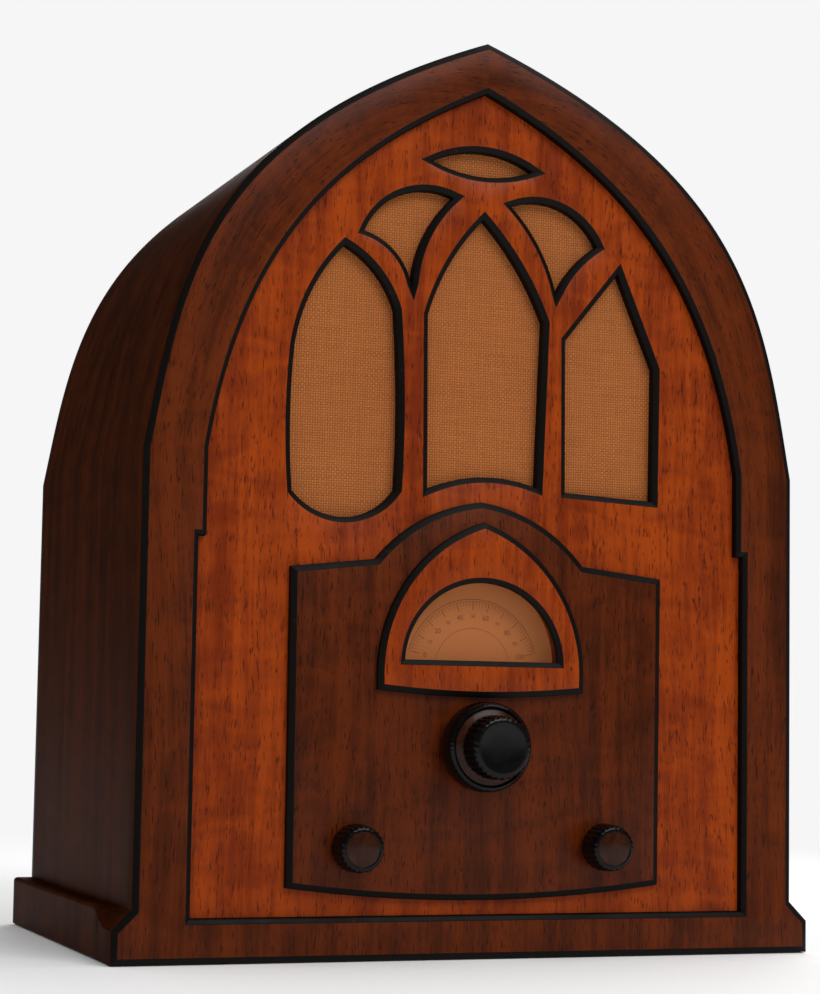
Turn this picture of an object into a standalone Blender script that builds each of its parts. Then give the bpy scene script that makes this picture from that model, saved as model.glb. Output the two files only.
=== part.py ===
"""Cathedral table radio of the early 1930s, built as separate pieces.

A pointed-arch walnut cabinet with a fretted front, a half-round dial with a friction drive, and an
open back that shows the valve chassis, the tuning gang and the moving-coil speaker.

Sizes are in millimetres; new_piece() scales them to metres. Inside the model X runs to the right,
Y runs into the cabinet from the front frame's face (depth 0), and Z runs up from the table.
"""
import math

import bmesh
import bpy
from mathutils import Matrix, Vector

MM = 0.001
GAP = 0.3                      # clearance between pieces that touch
WELD = 0.0005                  # points closer than this are one point

# Cabinet
HEIGHT = 445
DEPTH = 230
KNOB_REACH = 30                # how far the tuning knob stands in front of the frame
FRONT_Y = (KNOB_REACH - DEPTH) / 2
BODY_HALF = 168.5
BASE_HALF = 178
BASE_EDGE_TOP = 15.5           # the base is upright to here, then slopes in
BASE_TOP = 25
SHOULDER_Z = 237
OUTER_ARCH = ((BODY_HALF, SHOULDER_Z), (154, 316), (147, 390), (0, HEIGHT))
INNER_ARCH = ((137.5, 238), (123.2, 331.8), (79.5, 383.7), (0, 420))
STEP_Z = 197                   # the frame's inner edge steps out below this
STEP_HALF = 141.3
PANEL_BOTTOM = 20.3
ARCH_STEPS = 14

# Depths of the layers of the front
FRAME_DEPTH = 12
PANEL_FRONT = 5
PANEL_BACK = 11.2
OVERLAY_FRONT = 0.5
OVERLAY_BACK = PANEL_FRONT - GAP
ESCUTCHEON_FRONT = -3.2
CLOTH_FRONT = 11.5
CLOTH_BACK = 12.1
BAFFLE_FRONT = 12.4
BAFFLE_BACK = 20.4
SHELL = 7                      # thickness of the cabinet sides

# Dial and controls
DIAL_Z = 141.5                 # straight lower edge of the dial window
DIAL_HALF = 39.4
DIAL_RISE = 37.5
DIAL_SILL = 131                # lower edge of the pieces behind the window
CUTOUT_RADIUS = 42
PIVOT_Z = 138                  # tuning gang and pointer
TUNING_Z = 100.5
SMALL_X = 63.8
SMALL_Z = 52.8
SHAFT = 3
BORE = SHAFT + GAP
SHAFT_HOLE = 6

# Friction drive: the pinion drives the rim of the disc
DISC_RADIUS = 33
PINION_RADIUS = PIVOT_Z - TUNING_Z - DISC_RADIUS - GAP
DRIVE_DEPTH = 36

# Tuning gang
PLATES_PER_SECTION = 4
PLATE_PITCH = 6.6
PLATE = 1.2
GANG_FRONT = 46
GANG_BACK = 126
GANG_WALL = 2
GANG_HALF = 32
GANG_TOP = 166
SECTION_STARTS = (52, 91)      # depth of the first stator plate in each section
ROTOR_RADIUS = 26
STATOR_RADIUS = 31
TIE_RADIUS = 29

# Chassis
DECK_HALF = 140
DECK_FRONT = 34
DECK_BACK = 214
FLOOR_BOTTOM = 20
FLOOR_TOP = 32
CHASSIS_BOTTOM = FLOOR_TOP + GAP
DECK_Z = 92
SHEET = 1.5
FLANGE = 12
BOLT_X = 120
BOLT_DEPTHS = (41.5, 206.5)
GROMMET_X = 100
GROMMET_Z = 60
SOCKET_TOP = DECK_Z + 3        # valves and coil cans stand on their sockets
STAND_Z = DECK_Z + GAP

# Speaker
SPEAKER_Z = 292
SPEAKER_RADIUS = 88
CONE_OPENING = 80
CONE_DEPTH = 56
MAGNET_FRONT = 62

# Openings of the fretted panel: corners (x, z, rise), anticlockwise, where rise is how far
# the stretch that leaves the corner bulges outwards
LEFT_LANCET = ((-70.5, 340, 4.5), (-94.9, 289.5, 1.5), (-94.9, 220.5, 13), (-42.8, 223, 1.5), (-44.3, 310, 4))
CENTRE_LANCET = ((1, 358, 3.5), (-27.4, 309, 0), (-26.5, 224, -5.5), (30.6, 227, 0), (33.4, 309, 3))
RIGHT_LANCET = ((73.6, 336.5, 0), (45.3, 301, 0), (46, 225.5, 0), (93, 223, 0), (93.6, 289.5, 0))
EYE = ((-26.2, 385.2, 5.3), (26.6, 384.2, 6.8))
LEFT_MOUCHETTE = ((-60.8, 347.8, -5.3), (-36, 322, -5), (-15, 367.6, 10.2))
RIGHT_MOUCHETTE = ((15.6, 366, -3.5), (40, 323.8, -2.4), (62, 349.4, 9.8))
FRET_OPENINGS = (LEFT_LANCET, CENTRE_LANCET, RIGHT_LANCET, EYE, LEFT_MOUCHETTE, RIGHT_MOUCHETTE)

OVERLAY_OUTLINE = (
    (-95.5, 34, 6.5), (95.5, 34, 0), (96, 184.2, 0), (53.8, 189, 6), (0, 218.3, 6),
    (-53.8, 189, 0), (-96, 184.2, 0),
)
ESCUTCHEON_OUTLINE = ((-53, 127, 3), (53, 127, 0), (53, 131, 16), (0, 208.3, 16), (-53, 131, 0))

# Finishes: colour (sRGB, 0 to 255), roughness, metallic
FINISHES = {
    "frame walnut": ((83, 33, 0), 0.35, 0.0),
    "panel walnut": ((127, 49, 0), 0.32, 0.0),
    "overlay walnut": ((77, 30, 0), 0.32, 0.0),
    "side walnut": ((42, 16, 1), 0.4, 0.0),
    "bare plywood": ((150, 112, 72), 0.8, 0.0),
    "cloth": ((152, 89, 46), 0.95, 0.0),
    "dial card": ((152, 89, 46), 0.6, 0.0),
    "brown bakelite": ((42, 16, 1), 0.3, 0.0),
    "black bakelite": ((8, 7, 7), 0.3, 0.0),
    "steel": ((150, 150, 145), 0.45, 1.0),
    "aluminium": ((190, 190, 188), 0.4, 1.0),
    "brass": ((170, 130, 60), 0.35, 1.0),
    "black iron": ((30, 30, 32), 0.5, 0.6),
    "glass": ((200, 205, 200), 0.08, 0.0),
    "cone paper": ((60, 52, 44), 0.9, 0.0),
    "rubber": ((20, 20, 20), 0.8, 0.0),
}


# ---------------------------------------------------------------- tools

def linear(channel):
    """One 0-255 sRGB channel as a linear value."""
    value = channel / 255
    return value / 12.92 if value <= 0.04045 else ((value + 0.055) / 1.055) ** 2.4


def make_material(name, finish):
    """A Principled material of its own for one piece."""
    colour, roughness, metallic = FINISHES[finish]
    material = bpy.data.materials.new(name)
    material.use_nodes = True
    shader = material.node_tree.nodes["Principled BSDF"]
    shader.inputs["Base Color"].default_value = (*[linear(channel) for channel in colour], 1)
    shader.inputs["Roughness"].default_value = roughness
    shader.inputs["Metallic"].default_value = metallic
    return material


def clear_scene():
    for item in list(bpy.data.objects):
        bpy.data.objects.remove(item, do_unlink=True)


def new_empty(name, place, parent=None):
    """A guide on a joint's axis, or the origin of the front face."""
    guide = bpy.data.objects.new(name, None)
    guide.empty_display_size = 10 * MM
    guide.location = Vector(place) * MM
    guide.parent = parent
    bpy.context.collection.objects.link(guide)
    return guide


def new_piece(name, bm, finish, parent, place=(0, 0, 0)):
    """Turn a bmesh drawn in millimetres into a named object in metres."""
    bmesh.ops.recalc_face_normals(bm, faces=bm.faces[:])
    bmesh.ops.scale(bm, vec=(MM, MM, MM), verts=bm.verts[:])
    mesh = bpy.data.meshes.new(name)
    bm.to_mesh(mesh)
    bm.free()
    mesh.materials.append(make_material(name, finish))
    piece = bpy.data.objects.new(name, mesh)
    piece.location = Vector(place) * MM
    piece.parent = parent
    bpy.context.collection.objects.link(piece)
    shade(piece)
    return piece


def shade(piece):
    piece.data.shade_smooth()
    piece.data.set_sharp_from_angle(angle=math.radians(35))


def combine(piece, bm, operation):
    """Join, cut or keep with a shape drawn in the piece's own millimetres."""
    tool = new_piece("tool", bm, "steel", piece.parent, piece.location / MM)
    modifier = piece.modifiers.new("combine", "BOOLEAN")
    modifier.operation = operation
    modifier.solver = "EXACT"
    modifier.object = tool
    bpy.context.view_layer.update()
    result = piece.evaluated_get(bpy.context.evaluated_depsgraph_get())
    mesh = bpy.data.meshes.new_from_object(result)
    piece.modifiers.clear()
    cleaned = bmesh.new()
    cleaned.from_mesh(mesh)
    bmesh.ops.remove_doubles(cleaned, verts=cleaned.verts[:], dist=WELD * MM)
    bmesh.ops.dissolve_degenerate(cleaned, edges=cleaned.edges[:], dist=WELD * MM)
    cleaned.to_mesh(piece.data)
    cleaned.free()
    bpy.data.meshes.remove(mesh)
    bpy.data.objects.remove(tool, do_unlink=True)
    shade(piece)


def cut(piece, bm):
    combine(piece, bm, "DIFFERENCE")


def join(piece, bm):
    combine(piece, bm, "UNION")


def plate(outer, front, back, holes=()):
    """A flat piece facing the front: an outline in X and Z, with holes, between two depths."""
    bm = bmesh.new()
    edges = []
    for loop in (outer, *holes):
        verts = [bm.verts.new((x, front, z)) for x, z in loop]
        edges += [bm.edges.new((verts[i - 1], verts[i])) for i in range(len(verts))]
    bmesh.ops.triangle_fill(bm, use_beauty=True, use_dissolve=False, edges=edges)
    grown = bmesh.ops.extrude_face_region(bm, geom=bm.faces[:])
    moved = [item for item in grown["geom"] if isinstance(item, bmesh.types.BMVert)]
    bmesh.ops.translate(bm, verts=moved, vec=(0, back - front, 0))
    return bm


def box(low, high):
    bm = bmesh.new()
    low, high = Vector(low), Vector(high)
    size = high - low
    bmesh.ops.create_cube(bm, size=1, matrix=Matrix.Translation((low + high) / 2) @ Matrix.Diagonal((*size, 1)))
    return bm


def rounded_box(low, high, radius, segments=2):
    bm = box(low, high)
    bmesh.ops.bevel(bm, geom=bm.edges[:], offset=radius, segments=segments, profile=0.5, affect="EDGES")
    return bm


def turned(profile, segments=24, hollow=False):
    """Spin (depth, radius) points about the local Y axis; a hollow profile closes on itself."""
    bm = bmesh.new()
    verts = [bm.verts.new((radius, depth, 0)) for depth, radius in profile]
    pairs = list(zip(verts, verts[1:]))
    if hollow:
        pairs.append((verts[-1], verts[0]))
    edges = [bm.edges.new(pair) for pair in pairs]
    bmesh.ops.spin(
        bm, geom=verts + edges, cent=(0, 0, 0), axis=(0, 1, 0), angle=2 * math.pi, steps=segments,
        use_merge=True,
    )
    bmesh.ops.remove_doubles(bm, verts=bm.verts[:], dist=WELD)
    return bm


def upright(bm, place=(0, 0, 0)):
    """Stand a turned shape up: its Y axis becomes Z."""
    bmesh.ops.rotate(bm, verts=bm.verts[:], cent=(0, 0, 0), matrix=Matrix.Rotation(math.pi / 2, 3, "X"))
    return moved_to(bm, place)


def moved_to(bm, place):
    bmesh.ops.translate(bm, verts=bm.verts[:], vec=place)
    return bm


def rod(radius, front, back, x=0, z=0, segments=24):
    """A plain cylinder along the depth."""
    return moved_to(turned([(front, 0), (front, radius), (back, radius), (back, 0)], segments), (x, 0, z))


# ---------------------------------------------------------------- outlines

def arc(start, end, rise, steps):
    """Points from start up to, not including, end; rise is the bulge to the right of the way."""
    if abs(rise) < WELD:
        return [tuple(start)]
    start, end = Vector(start), Vector(end)
    along = end - start
    chord = along.length
    along.normalize()
    outwards = Vector((along.y, -along.x))
    half_angle = 2 * math.atan(2 * rise / chord)
    radius = chord / (2 * math.sin(half_angle))
    middle = (start + end) / 2
    points = []
    for i in range(steps):
        angle = half_angle * (2 * i / steps - 1)
        bulge = radius * (math.cos(angle) - math.cos(half_angle))
        points.append(tuple(middle + along * radius * math.sin(angle) + outwards * bulge))
    return points


def outline(corners, steps=8):
    """A closed outline from corners of (x, z, rise)."""
    points = []
    for i, (x, z, rise) in enumerate(corners):
        following = corners[(i + 1) % len(corners)]
        points += arc((x, z), following[:2], rise, steps)
    return points


def circle(radius, x=0, z=0, steps=20):
    turns = [2 * math.pi * i / steps for i in range(steps)]
    return [(x + radius * math.cos(turn), z + radius * math.sin(turn)) for turn in turns]


def half_disc(radius, sill, steps=24):
    """A half disc on the dial's lower edge, with a straight skirt down to the sill."""
    corners = [(radius, DIAL_Z, radius), (-radius, DIAL_Z, 0), (-radius, sill, 0), (radius, sill, 0)]
    return outline(corners, steps)


def arch_side(control, inset=0.0, stop=0.0):
    """The right-hand side of an arch from its spring to x = stop, moved inwards by inset."""
    start, first, second, end = [Vector(point) for point in control]
    points = []
    for i in range(ARCH_STEPS + 1):
        t = i / ARCH_STEPS
        s = 1 - t
        place = s**3 * start + 3 * s * s * t * first + 3 * s * t * t * second + t**3 * end
        way = s * s * (first - start) + 2 * s * t * (second - first) + t * t * (end - second)
        way.normalize()
        points.append(place + inset * Vector((-way.y, way.x)))
    kept = [point for point in points if point.x > stop + 1]
    last, beyond = kept[-1], points[len(kept)]
    slope = (beyond.y - last.y) / (beyond.x - last.x)
    apex = (stop, last.y + slope * (stop - last.x))
    return [tuple(point) for point in kept] + [apex]


def mirrored(side):
    """A whole outline from its right-hand side, which ends on the centre line."""
    return side + [(-x, z) for x, z in reversed(side[:-1])]


def frame_opening(inset=0.0):
    corners = [
        (STEP_HALF - inset, PANEL_BOTTOM + inset),
        (STEP_HALF - inset, STEP_Z - inset),
        (INNER_ARCH[0][0] - inset, STEP_Z - inset),
    ]
    return mirrored(corners + arch_side(INNER_ARCH, inset))


# ---------------------------------------------------------------- cabinet

def make_front_frame(front):
    side = [(BASE_HALF, 0), (BASE_HALF, BASE_EDGE_TOP), (BODY_HALF, BASE_TOP)] + arch_side(OUTER_ARCH)
    new_piece("front_frame", plate(mirrored(side), 0, FRAME_DEPTH, [frame_opening()]), "frame walnut", front)


def make_shells(front):
    outer = [(BODY_HALF, 0)] + arch_side(OUTER_ARCH, 0, GAP / 2)
    inner = [(BODY_HALF - SHELL, 0)] + arch_side(OUTER_ARCH, SHELL, GAP / 2)
    right = outer + inner[::-1]
    for name, sign in (("shell_left", -1), ("shell_right", 1)):
        loop = [(sign * x, z) for x, z in right]
        new_piece(name, plate(loop, FRAME_DEPTH + GAP, DEPTH), "side walnut", front)


def make_ridge_block(front):
    reach = 32
    bottom = 412
    side = [point for point in arch_side(OUTER_ARCH, SHELL + GAP) if point[0] < reach]
    loop = mirrored([(side[0][0], bottom)] + side)
    new_piece("ridge_block", plate(loop, BAFFLE_BACK + 0.6, DEPTH - 5), "bare plywood", front)


def make_base_mouldings(front):
    inner, top, chamfer = BODY_HALF + GAP, BASE_TOP - GAP, 2
    right = [(inner, 0), (BASE_HALF, 0), (BASE_HALF, top - chamfer), (BASE_HALF - chamfer, top), (inner, top)]
    for name, sign in (("base_moulding_left", -1), ("base_moulding_right", 1)):
        loop = [(sign * x, z) for x, z in right]
        new_piece(name, plate(loop, FRAME_DEPTH + GAP, DEPTH), "side walnut", front)


def make_floor_board(front):
    half = BODY_HALF - SHELL - 0.5
    board = box((-half, BAFFLE_BACK + GAP, FLOOR_BOTTOM), (half, DEPTH - 4, FLOOR_TOP))
    piece = new_piece("floor_board", board, "bare plywood", front)
    for x in (-BOLT_X, BOLT_X):
        for depth in BOLT_DEPTHS:
            hole = upright(rod(3.2, FLOOR_BOTTOM - 1, FLOOR_TOP + 1, segments=16), (x, depth, 0))
            cut(piece, hole)


def control_holes(radius):
    places = ((0, TUNING_Z), (-SMALL_X, SMALL_Z), (SMALL_X, SMALL_Z))
    return [circle(radius, x, z, 16) for x, z in places]


def make_baffle_board(front):
    inset = SHELL + 0.4
    side = [(BODY_HALF - inset, FLOOR_BOTTOM)] + arch_side(OUTER_ARCH, inset)
    holes = control_holes(SHAFT_HOLE)
    holes.append(circle(CONE_OPENING, 0, SPEAKER_Z, 40))
    holes.append(half_disc(CUTOUT_RADIUS - 2, DIAL_SILL))
    new_piece("baffle_board", plate(mirrored(side), BAFFLE_FRONT, BAFFLE_BACK, holes), "bare plywood", front)


def make_front_panel(front):
    holes = [outline(opening) for opening in FRET_OPENINGS]
    holes += control_holes(SHAFT_HOLE)
    holes.append(half_disc(CUTOUT_RADIUS, DIAL_SILL))
    new_piece("front_panel", plate(frame_opening(GAP), PANEL_FRONT, PANEL_BACK, holes), "panel walnut", front)


def make_grille_cloth(front):
    margin = 2
    bottom = STEP_Z + 3
    side = [(INNER_ARCH[0][0] - margin, bottom)] + arch_side(INNER_ARCH, margin)
    new_piece("grille_cloth", plate(mirrored(side), CLOTH_FRONT, CLOTH_BACK), "cloth", front)


def make_control_panel(front):
    holes = control_holes(SHAFT_HOLE - 0.5)
    holes.append(half_disc(CUTOUT_RADIUS, DIAL_SILL))
    bm = plate(outline(OVERLAY_OUTLINE, 10), OVERLAY_FRONT, OVERLAY_BACK, holes)
    new_piece("control_panel", bm, "overlay walnut", front)


# ---------------------------------------------------------------- dial

def make_dial(front):
    window = outline([(DIAL_HALF, DIAL_Z, DIAL_RISE), (-DIAL_HALF, DIAL_Z, 0)], 24)
    ring = plate(outline(ESCUTCHEON_OUTLINE, 10), ESCUTCHEON_FRONT, OVERLAY_FRONT - GAP, [window])
    new_piece("dial_escutcheon", ring, "panel walnut", front)
    lens_front = OVERLAY_FRONT + 0.1
    lens = plate(half_disc(CUTOUT_RADIUS - 1, DIAL_SILL + 1), lens_front, lens_front + 1.4)
    new_piece("dial_window", lens, "glass", front)
    shaft_hole = circle(BORE + GAP, 0, PIVOT_Z, 16)
    card = plate(half_disc(CUTOUT_RADIUS + 4, DIAL_SILL), CLOTH_FRONT, CLOTH_BACK, [shaft_hole])
    new_piece("dial_scale", card, "dial card", front)


def make_lamp(front):
    depth = 28.5
    socket_low, socket_high = 174, 192
    plate_low, plate_high = 184, 201
    socket = upright(turned([(socket_low, 0), (socket_low, 6), (socket_high, 6), (socket_high, 0)], 16))
    piece = new_piece("lamp_socket", socket, "brass", front, (0, depth, 0))
    back = BAFFLE_BACK + GAP - depth
    join(piece, box((-3, back + 0.5, 187), (3, 0, 190)))
    join(piece, box((-7, back, plate_low), (7, back + 1.2, plate_high)))
    bulb = [(152, 0), (152.8, 2.8), (155, 4.9), (158, 5.5), (161, 4.9), (164, 4.2), (173.7, 4.2), (173.7, 0)]
    new_piece("dial_lamp", upright(turned(bulb, 12)), "glass", front, (0, depth, 0))


# ---------------------------------------------------------------- tuning drive

def make_tuning_knob(axis):
    skirt_back, skirt_front = -3, -16
    radius, cap_radius = 21.5, 15.2
    shaft_front = 4 - KNOB_REACH
    skirt = [
        (skirt_back, BORE), (skirt_back, radius - 1), (skirt_back - 1, radius), (skirt_front + 3, radius),
        (skirt_front + 0.6, radius - 2.2), (skirt_front, radius - 4.5), (skirt_front, BORE),
    ]
    new_piece("tuning_knob_skirt", turned(skirt, 32, hollow=True), "brown bakelite", axis)
    cap = [
        (skirt_front - GAP, BORE), (skirt_front - GAP, cap_radius), (-KNOB_REACH + 2, cap_radius),
        (-KNOB_REACH + 0.5, cap_radius - 1), (-KNOB_REACH, cap_radius - 3), (-KNOB_REACH, 0),
    ]
    cap += [(shaft_front - 0.5, 0), (shaft_front - 0.5, BORE)]
    new_piece("tuning_knob_cap", turned(cap, 32, hollow=True), "black bakelite", axis)
    end = 45.2
    shaft = [
        (shaft_front, 0), (shaft_front, SHAFT), (DRIVE_DEPTH - 0.5, SHAFT), (DRIVE_DEPTH - 0.5, PINION_RADIUS),
        (DRIVE_DEPTH + 3.5, PINION_RADIUS), (DRIVE_DEPTH + 3.5, SHAFT), (end, SHAFT), (end, 0),
    ]
    new_piece("tuning_shaft", turned(shaft, 16), "steel", axis)


def make_shaft_bracket(front):
    front_depth, back_depth = 43, 45
    half = 12
    piece = new_piece("shaft_bracket", box((-half, front_depth, STAND_Z), (half, back_depth, 111)), "steel", front)
    join(piece, box((-half, 36.5, STAND_Z), (half, back_depth - 0.5, STAND_Z + SHEET)))
    cut(piece, rod(BORE, front_depth - 1, back_depth + 1, 0, TUNING_Z, 20))


def make_gang(front, axis):
    """Two-section variable capacitor; the rotor rests fully in mesh and turns through half a turn."""
    frame = new_piece(
        "gang_frame", box((-GANG_HALF, GANG_FRONT, STAND_Z), (GANG_HALF, GANG_BACK, GANG_TOP)), "steel", front,
    )
    walls = (GANG_FRONT, (GANG_FRONT + GANG_BACK - GANG_WALL) / 2, GANG_BACK - GANG_WALL)
    for near, far in zip(walls, walls[1:]):
        space = ((-GANG_HALF - 1, near + GANG_WALL, STAND_Z + GANG_WALL), (GANG_HALF + 1, far, GANG_TOP + 1))
        cut(frame, box(*space))
    cut(frame, rod(BORE, GANG_FRONT - 1, GANG_BACK + 1, 0, PIVOT_Z, 20))
    turn = math.radians(50)
    ties = [(TIE_RADIUS * math.cos(turn), PIVOT_Z + side * TIE_RADIUS * math.sin(turn)) for side in (-1, 1)]
    for x, z in ties:
        cut(frame, rod(2.4, walls[1] - 1, walls[1] + GANG_WALL + 1, x, z, 12))

    stator = None
    for start in SECTION_STARTS:
        for i in range(PLATES_PER_SECTION):
            depth = start + i * PLATE_PITCH
            leaf = plate(stator_outline(), depth, depth + PLATE)
            if stator is None:
                stator = new_piece("gang_stator", leaf, "aluminium", front)
            else:
                join(stator, leaf)
            if start == SECTION_STARTS[0] and i == 0:
                for x, z in ties:
                    join(stator, rod(1.4, GANG_FRONT + GANG_WALL + 0.4, GANG_BACK - GANG_WALL - 0.4, x, z, 10))

    shaft_front = 7.5
    rotor = new_piece("gang_rotor", rod(SHAFT, shaft_front, GANG_BACK - 1.6), "aluminium", axis)
    for start in SECTION_STARTS:
        for i in range(PLATES_PER_SECTION):
            depth = start + (i + 0.5) * PLATE_PITCH
            leaf = outline([(1, -ROTOR_RADIUS, ROTOR_RADIUS), (1, ROTOR_RADIUS, 0), (-5, 6, 0), (-5, -6, 0)], 8)
            join(rotor, plate(leaf, depth, depth + PLATE))

    disc = [
        (DRIVE_DEPTH, BORE), (DRIVE_DEPTH, DISC_RADIUS), (DRIVE_DEPTH + 3, DISC_RADIUS), (DRIVE_DEPTH + 3, 9),
        (DRIVE_DEPTH + 8, 9), (DRIVE_DEPTH + 8, BORE),
    ]
    new_piece("drive_disc", turned(disc, 32, hollow=True), "brass", axis)
    hub, reach, half = 4.6, 36, 0.6
    neck = math.sqrt(hub * hub - half * half)
    needle = outline([(-neck, -half, hub + neck), (-neck, half, 0), (-reach, half, 0), (-reach, -half, 0)], 16)
    new_piece("dial_pointer", plate(needle, 8, 9, [circle(BORE, steps=16)]), "black iron", axis)


def stator_outline():
    """A half ring on the right of the shaft."""
    inner, outer, clearance = 8, STATOR_RADIUS, 1.5
    corners = [
        (clearance, PIVOT_Z - outer, outer - clearance), (clearance, PIVOT_Z + outer, 0),
        (clearance, PIVOT_Z + inner, -inner + clearance), (clearance, PIVOT_Z - inner, 0),
    ]
    return outline(corners, 8)


# ---------------------------------------------------------------- volume and tone

def make_small_control(front, axis, kind):
    knob_radius = 11.5
    knob_front, knob_back = -17, -2.5
    shaft_front, shaft_back = -13, 45.5
    knob = [
        (knob_back, BORE), (knob_back, knob_radius - 0.6), (knob_back - 1, knob_radius),
        (knob_front + 2, knob_radius - 0.4), (knob_front + 0.5, knob_radius - 1.5), (knob_front, knob_radius - 3.5),
        (knob_front, 0), (shaft_front - 0.5, 0), (shaft_front - 0.5, BORE),
    ]
    new_piece(kind + "_knob", turned(knob, 24, hollow=True), "brown bakelite", axis)
    new_piece(kind + "_shaft", rod(SHAFT, shaft_front, shaft_back, segments=16), "steel", axis)
    bush_front, bush = 27, 4.8
    apron_back = DECK_FRONT + SHEET + GAP
    body, body_back = 17, 51
    switch = [
        (bush_front, BORE), (bush_front, bush), (apron_back, bush), (apron_back, body), (body_back, body),
        (body_back, 0), (shaft_back + 0.5, 0), (shaft_back + 0.5, BORE),
    ]
    place = (axis.location.x / MM, 0, SMALL_Z)
    new_piece(kind + "_control", turned(switch, 20, hollow=True), "steel", front, place)


# ---------------------------------------------------------------- chassis

def make_chassis(front):
    piece = new_piece(
        "chassis", box((-DECK_HALF, DECK_FRONT, CHASSIS_BOTTOM), (DECK_HALF, DECK_BACK, DECK_Z)), "steel", front,
    )
    inside = DECK_HALF - SHEET
    near, far = DECK_FRONT + SHEET, DECK_BACK - SHEET
    cut(piece, box((-inside, near, CHASSIS_BOTTOM + SHEET), (inside, far, DECK_Z - SHEET)))
    mouth = ((-inside, near + FLANGE, CHASSIS_BOTTOM - 1), (inside, far - FLANGE, CHASSIS_BOTTOM + 2 * SHEET))
    cut(piece, box(*mouth))
    for x in (-SMALL_X, SMALL_X):
        cut(piece, rod(5.2, DECK_FRONT - 1, near + 1, x, SMALL_Z, 16))
    cut(piece, rod(5.2, far - 1, DECK_BACK + 1, GROMMET_X, GROMMET_Z, 16))
    for x in (-BOLT_X, BOLT_X):
        for depth in BOLT_DEPTHS:
            hole = rod(3.2, CHASSIS_BOTTOM - 1, CHASSIS_BOTTOM + SHEET + 1, segments=16)
            cut(piece, upright(hole, (x, depth, 0)))


def make_bolts(front):
    """Four bolts up through the floor board and the chassis flanges, each with its nut."""
    head_low, head_high = FLOOR_BOTTOM - 4.3, FLOOR_BOTTOM - GAP
    nut_low = CHASSIS_BOTTOM + SHEET + GAP
    nut_high, tip = nut_low + 3.6, nut_low + 6
    shank, head, nut = 2.6, 5.5, 4.8
    profile = [
        (head_low, 0), (head_low, head), (head_high, head), (head_high, shank), (nut_low, shank),
        (nut_low, nut), (nut_high, nut), (nut_high, shank), (tip, shank), (tip, 0),
    ]
    places = [(x, depth) for x in (-BOLT_X, BOLT_X) for depth in BOLT_DEPTHS]
    for number, (x, depth) in enumerate(places, 1):
        name = f"chassis_bolt_{number}"
        new_piece(name, upright(turned(profile, 8)), "steel", front, (x, depth, 0))


def make_power_transformer(front):
    x, depth = 95, 170
    core_half, core_deep, core_top = 36, 30, 116
    cover_half, cover_deep, cover_top = 31, 25, 146
    core = box((x - core_half, depth - core_deep, STAND_Z), (x + core_half, depth + core_deep, core_top))
    new_piece("power_transformer_core", core, "black iron", front)
    low = (x - cover_half, depth - cover_deep, core_top + GAP)
    high = (x + cover_half, depth + cover_deep, cover_top)
    new_piece("power_transformer_shroud", rounded_box(low, high, 5), "black iron", front)


def make_cans(front):
    filter_radius, filter_top = 17.5, 187
    profile = [
        (STAND_Z, 0), (STAND_Z, filter_radius), (filter_top - 2, filter_radius),
        (filter_top, filter_radius - 2), (filter_top, 0),
    ]
    for number, place in enumerate(((-118, 188, 0), (-78, 190, 0)), 1):
        new_piece(f"filter_can_{number}", upright(turned(profile, 20)), "aluminium", front, place)
    half, top = 17, 176
    for number, place in enumerate(((-92, 145, 0), (-40, 160, 0)), 1):
        can = rounded_box((-half, -half, STAND_Z), (half, half, top), 3)
        new_piece(f"if_can_{number}", can, "aluminium", front, place)


def make_power_valve(front, name, place):
    base, base_top = 17.5, 124
    pin_end = SOCKET_TOP
    new_piece(
        name + "_base",
        upright(turned([(pin_end, 0), (pin_end, base), (base_top, base), (base_top, 0)], 20)),
        "brown bakelite", front, place,
    )
    low = base_top + GAP
    glass = [
        (low, 0), (low, 15), (low + 8, 16), (low + 20, 21), (low + 34, 23), (low + 46, 21.5), (low + 58, 16),
        (low + 68, 14), (low + 76, 10.5), (low + 79, 5), (low + 79.5, 0),
    ]
    new_piece(name + "_glass", upright(turned(glass, 20)), "glass", front, place)


def make_shielded_valve(front, number, place):
    radius, wall, top, mouth = 21.2, 0.8, 176, 12
    can = [
        (SOCKET_TOP, radius - wall), (SOCKET_TOP, radius), (top - 1.5, radius), (top, radius - 1.5), (top, mouth),
        (top - wall, mouth), (top - wall, radius - 2.2), (top - 2.2, radius - wall),
    ]
    new_piece(f"tube_shield_{number}", upright(turned(can, 20, hollow=True)), "aluminium", front, place)
    low = SOCKET_TOP
    valve = [
        (low, 0), (low, 16), (low + 25, 16), (low + 33, 14.5), (low + 46, 19), (low + 58, 19), (low + 68, 13),
        (low + 78, 10.5), (low + 84, 5.5), (low + 85, 4.5), (low + 95, 4.5), (low + 95, 0),
    ]
    new_piece(f"shielded_tube_{number}", upright(turned(valve, 16)), "glass", front, place)


def make_rear_fittings(front):
    strip = box((-122, DECK_BACK + GAP, 52), (-82, DECK_BACK + 4, 68))
    new_piece("terminal_strip", strip, "brown bakelite", front)
    hole, neck, flange = 3.6, 4.8, 7.5
    apron = DECK_BACK - SHEET - GAP
    grommet = [
        (apron - 2.5, hole), (apron - 2.5, flange), (apron, flange), (apron, neck), (DECK_BACK + GAP, neck),
        (DECK_BACK + GAP, flange), (DECK_BACK + 2.5, flange), (DECK_BACK + 2.5, hole),
    ]
    new_piece("cord_grommet", turned(grommet, 16, hollow=True), "rubber", front, (GROMMET_X, 0, GROMMET_Z))


# ---------------------------------------------------------------- speaker

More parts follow.
